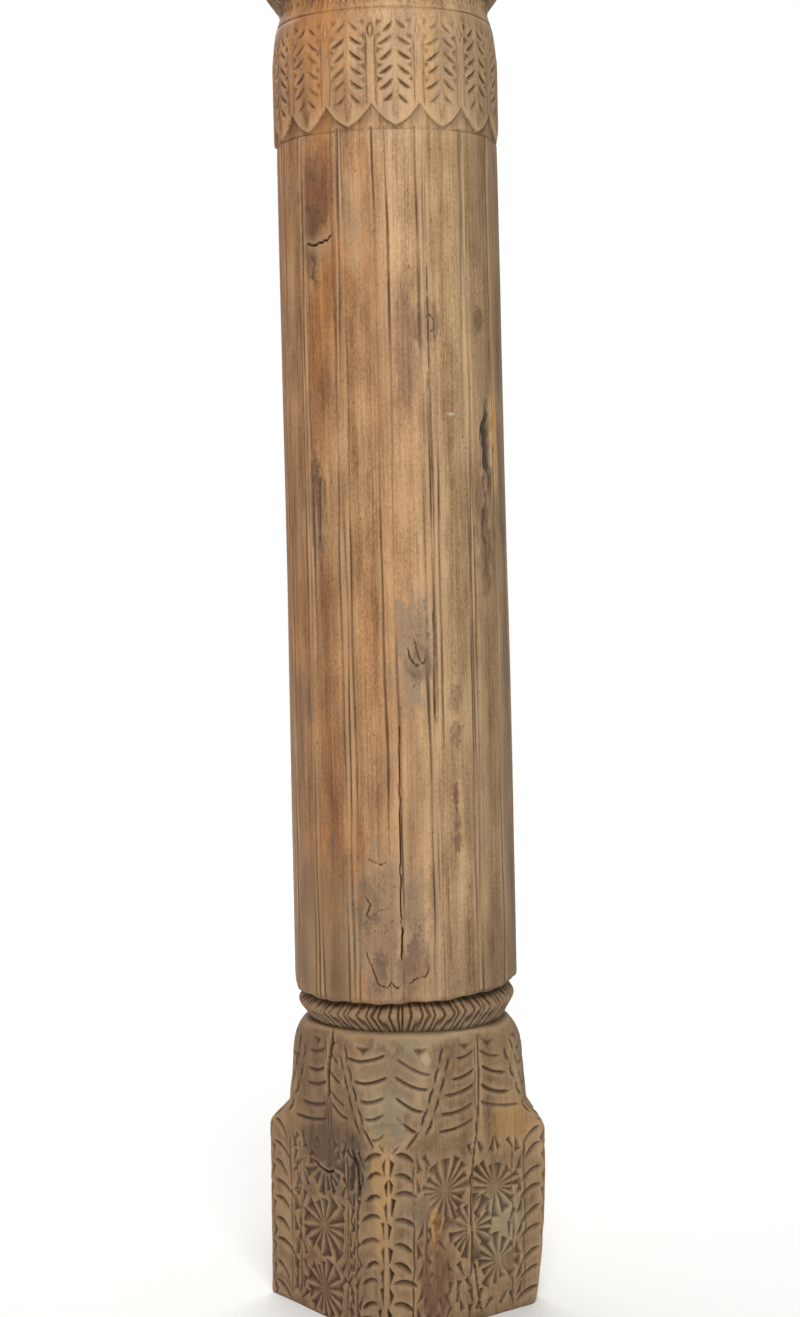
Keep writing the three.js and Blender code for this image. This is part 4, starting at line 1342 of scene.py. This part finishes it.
class PILLAR_OT_stage(bpy.types.Operator):
    """Set the floor, the light and the camera"""

    bl_idname = "pillar.stage"
    bl_label = "Set stage"

    def execute(self, context):
        scene = context.scene
        studio = scene.pillar_studio
        self.lay_floor(scene.pillar_colours)
        self.set_light(scene, studio)
        self.set_camera(scene, studio)
        return {"FINISHED"}

    def lay_floor(self, colours):
        """A wide pale floor."""
        bpy.ops.object.select_all(action="DESELECT")
        bpy.ops.mesh.primitive_circle_add(vertices=96, radius=FLOOR_RADIUS, fill_type="NGON")
        floor = bpy.context.object
        floor.name = "studio_floor"
        floor.data.materials.append(studio_paper(colours))

    def set_light(self, scene, studio):
        """Even white light all round, a large soft light from the front, and one over the floor behind."""
        world = bpy.data.worlds.new("Studio")
        world.use_nodes = True
        scene.world = world
        tree = world.node_tree
        tree.nodes.clear()
        seen = add_node(tree, "ShaderNodeLightPath").outputs["Is Camera Ray"]
        strength = add_node(
            tree, "ShaderNodeMapRange", {"Value": seen, "To Min": studio.sky, "To Max": 1}).outputs[0]
        sky = add_node(tree, "ShaderNodeBackground", {"Color": (1, 1, 1, 1), "Strength": strength})
        add_node(tree, "ShaderNodeOutputWorld", {"Surface": sky.outputs[0]})
        aim = Vector((0, 0, scene.pillar_sizes.height / 2))
        turn = studio.azimuth + KEY_TURN
        spot = Vector((KEY_DISTANCE * math.sin(turn), -KEY_DISTANCE * math.cos(turn), KEY_HEIGHT))
        facing = (aim - spot).to_track_quat("-Z", "Y").to_euler()
        bpy.ops.object.light_add(type="AREA", location=spot, rotation=facing)
        key = bpy.context.object
        key.name = "front_softbox"
        key.data.shape = "RECTANGLE"
        key.data.size, key.data.size_y = KEY_SIZE, KEY_SIZE
        key.data.energy = studio.key_power
        behind = Vector((-BACK_DISTANCE * math.sin(turn), BACK_DISTANCE * math.cos(turn), BACK_HEIGHT))
        bpy.ops.object.light_add(type="AREA", location=behind)
        back = bpy.context.object
        back.name = "floor_softbox"
        back.data.size = BACK_SIZE
        back.data.energy = studio.floor_power
        for light in (key, back):
            light.visible_camera = False
        scene.view_settings.view_transform = "Standard"

    def set_camera(self, scene, studio):
        """Camera at the angle of the photograph, an image of 800 by 1317."""
        image_height, focal_pixels, aim_pixels = 1317, 2200, 4.3
        away = Vector((math.sin(studio.azimuth), -math.cos(studio.azimuth), 0))
        right = Vector((math.cos(studio.azimuth), math.sin(studio.azimuth), 0))
        up = Vector((0, 0, 1))
        forward = -away * math.cos(studio.pitch) - up * math.sin(studio.pitch)
        up = up * math.cos(studio.pitch) - away * math.sin(studio.pitch)
        yaw = math.atan(aim_pixels / focal_pixels)
        forward, right = (
            forward * math.cos(yaw) + right * math.sin(yaw), right * math.cos(yaw) - forward * math.sin(yaw))
        right, up = (
            right * math.cos(studio.roll) - up * math.sin(studio.roll),
            up * math.cos(studio.roll) + right * math.sin(studio.roll))
        bpy.ops.object.camera_add()
        camera = bpy.context.object
        camera.name = "photo_camera"
        turned = Matrix((right, up, -forward)).transposed().to_4x4()
        camera.matrix_world = Matrix.Translation(away * studio.distance + Vector((0, 0, studio.eye))) @ turned
        camera.data.sensor_width = 36
        camera.data.lens = camera.data.sensor_width * focal_pixels / image_height
        scene.camera = camera


class PILLAR_PT_sidebar(bpy.types.Panel):
    """Lists the steps that make the pillar and its sizes"""

    bl_label = "Pillar"
    bl_idname = "PILLAR_PT_sidebar"
    bl_space_type = "VIEW_3D"
    bl_region_type = "UI"
    bl_category = "Pillar"

    def draw(self, context):
        for operator in (PILLAR_OT_carve, PILLAR_OT_stage):
            self.layout.operator(operator.bl_idname)
        for group_name in GROUPS:
            group = getattr(context.scene, group_name)
            box = self.layout.box()
            for name in group.bl_rna.properties.keys():
                if name not in ("rna_type", "name"):
                    box.prop(group, name)


GROUPS = {
    "pillar_sizes": PillarSizes,
    "pillar_carving": CarvingSizes,
    "pillar_colours": WoodColours,
    "pillar_studio": StudioSizes,
}
CLASSES = (*GROUPS.values(), PILLAR_OT_carve, PILLAR_OT_stage, PILLAR_PT_sidebar)


def register():
    for cls in CLASSES:
        bpy.utils.register_class(cls)
    for name, group in GROUPS.items():
        setattr(bpy.types.Scene, name, PointerProperty(type=group))


def unregister():
    for name in GROUPS:
        delattr(bpy.types.Scene, name)
    for cls in reversed(CLASSES):
        bpy.utils.unregister_class(cls)


def main():
    register()
    bpy.ops.pillar.carve()
    bpy.ops.pillar.stage()


if __name__ == "__main__":
    main()
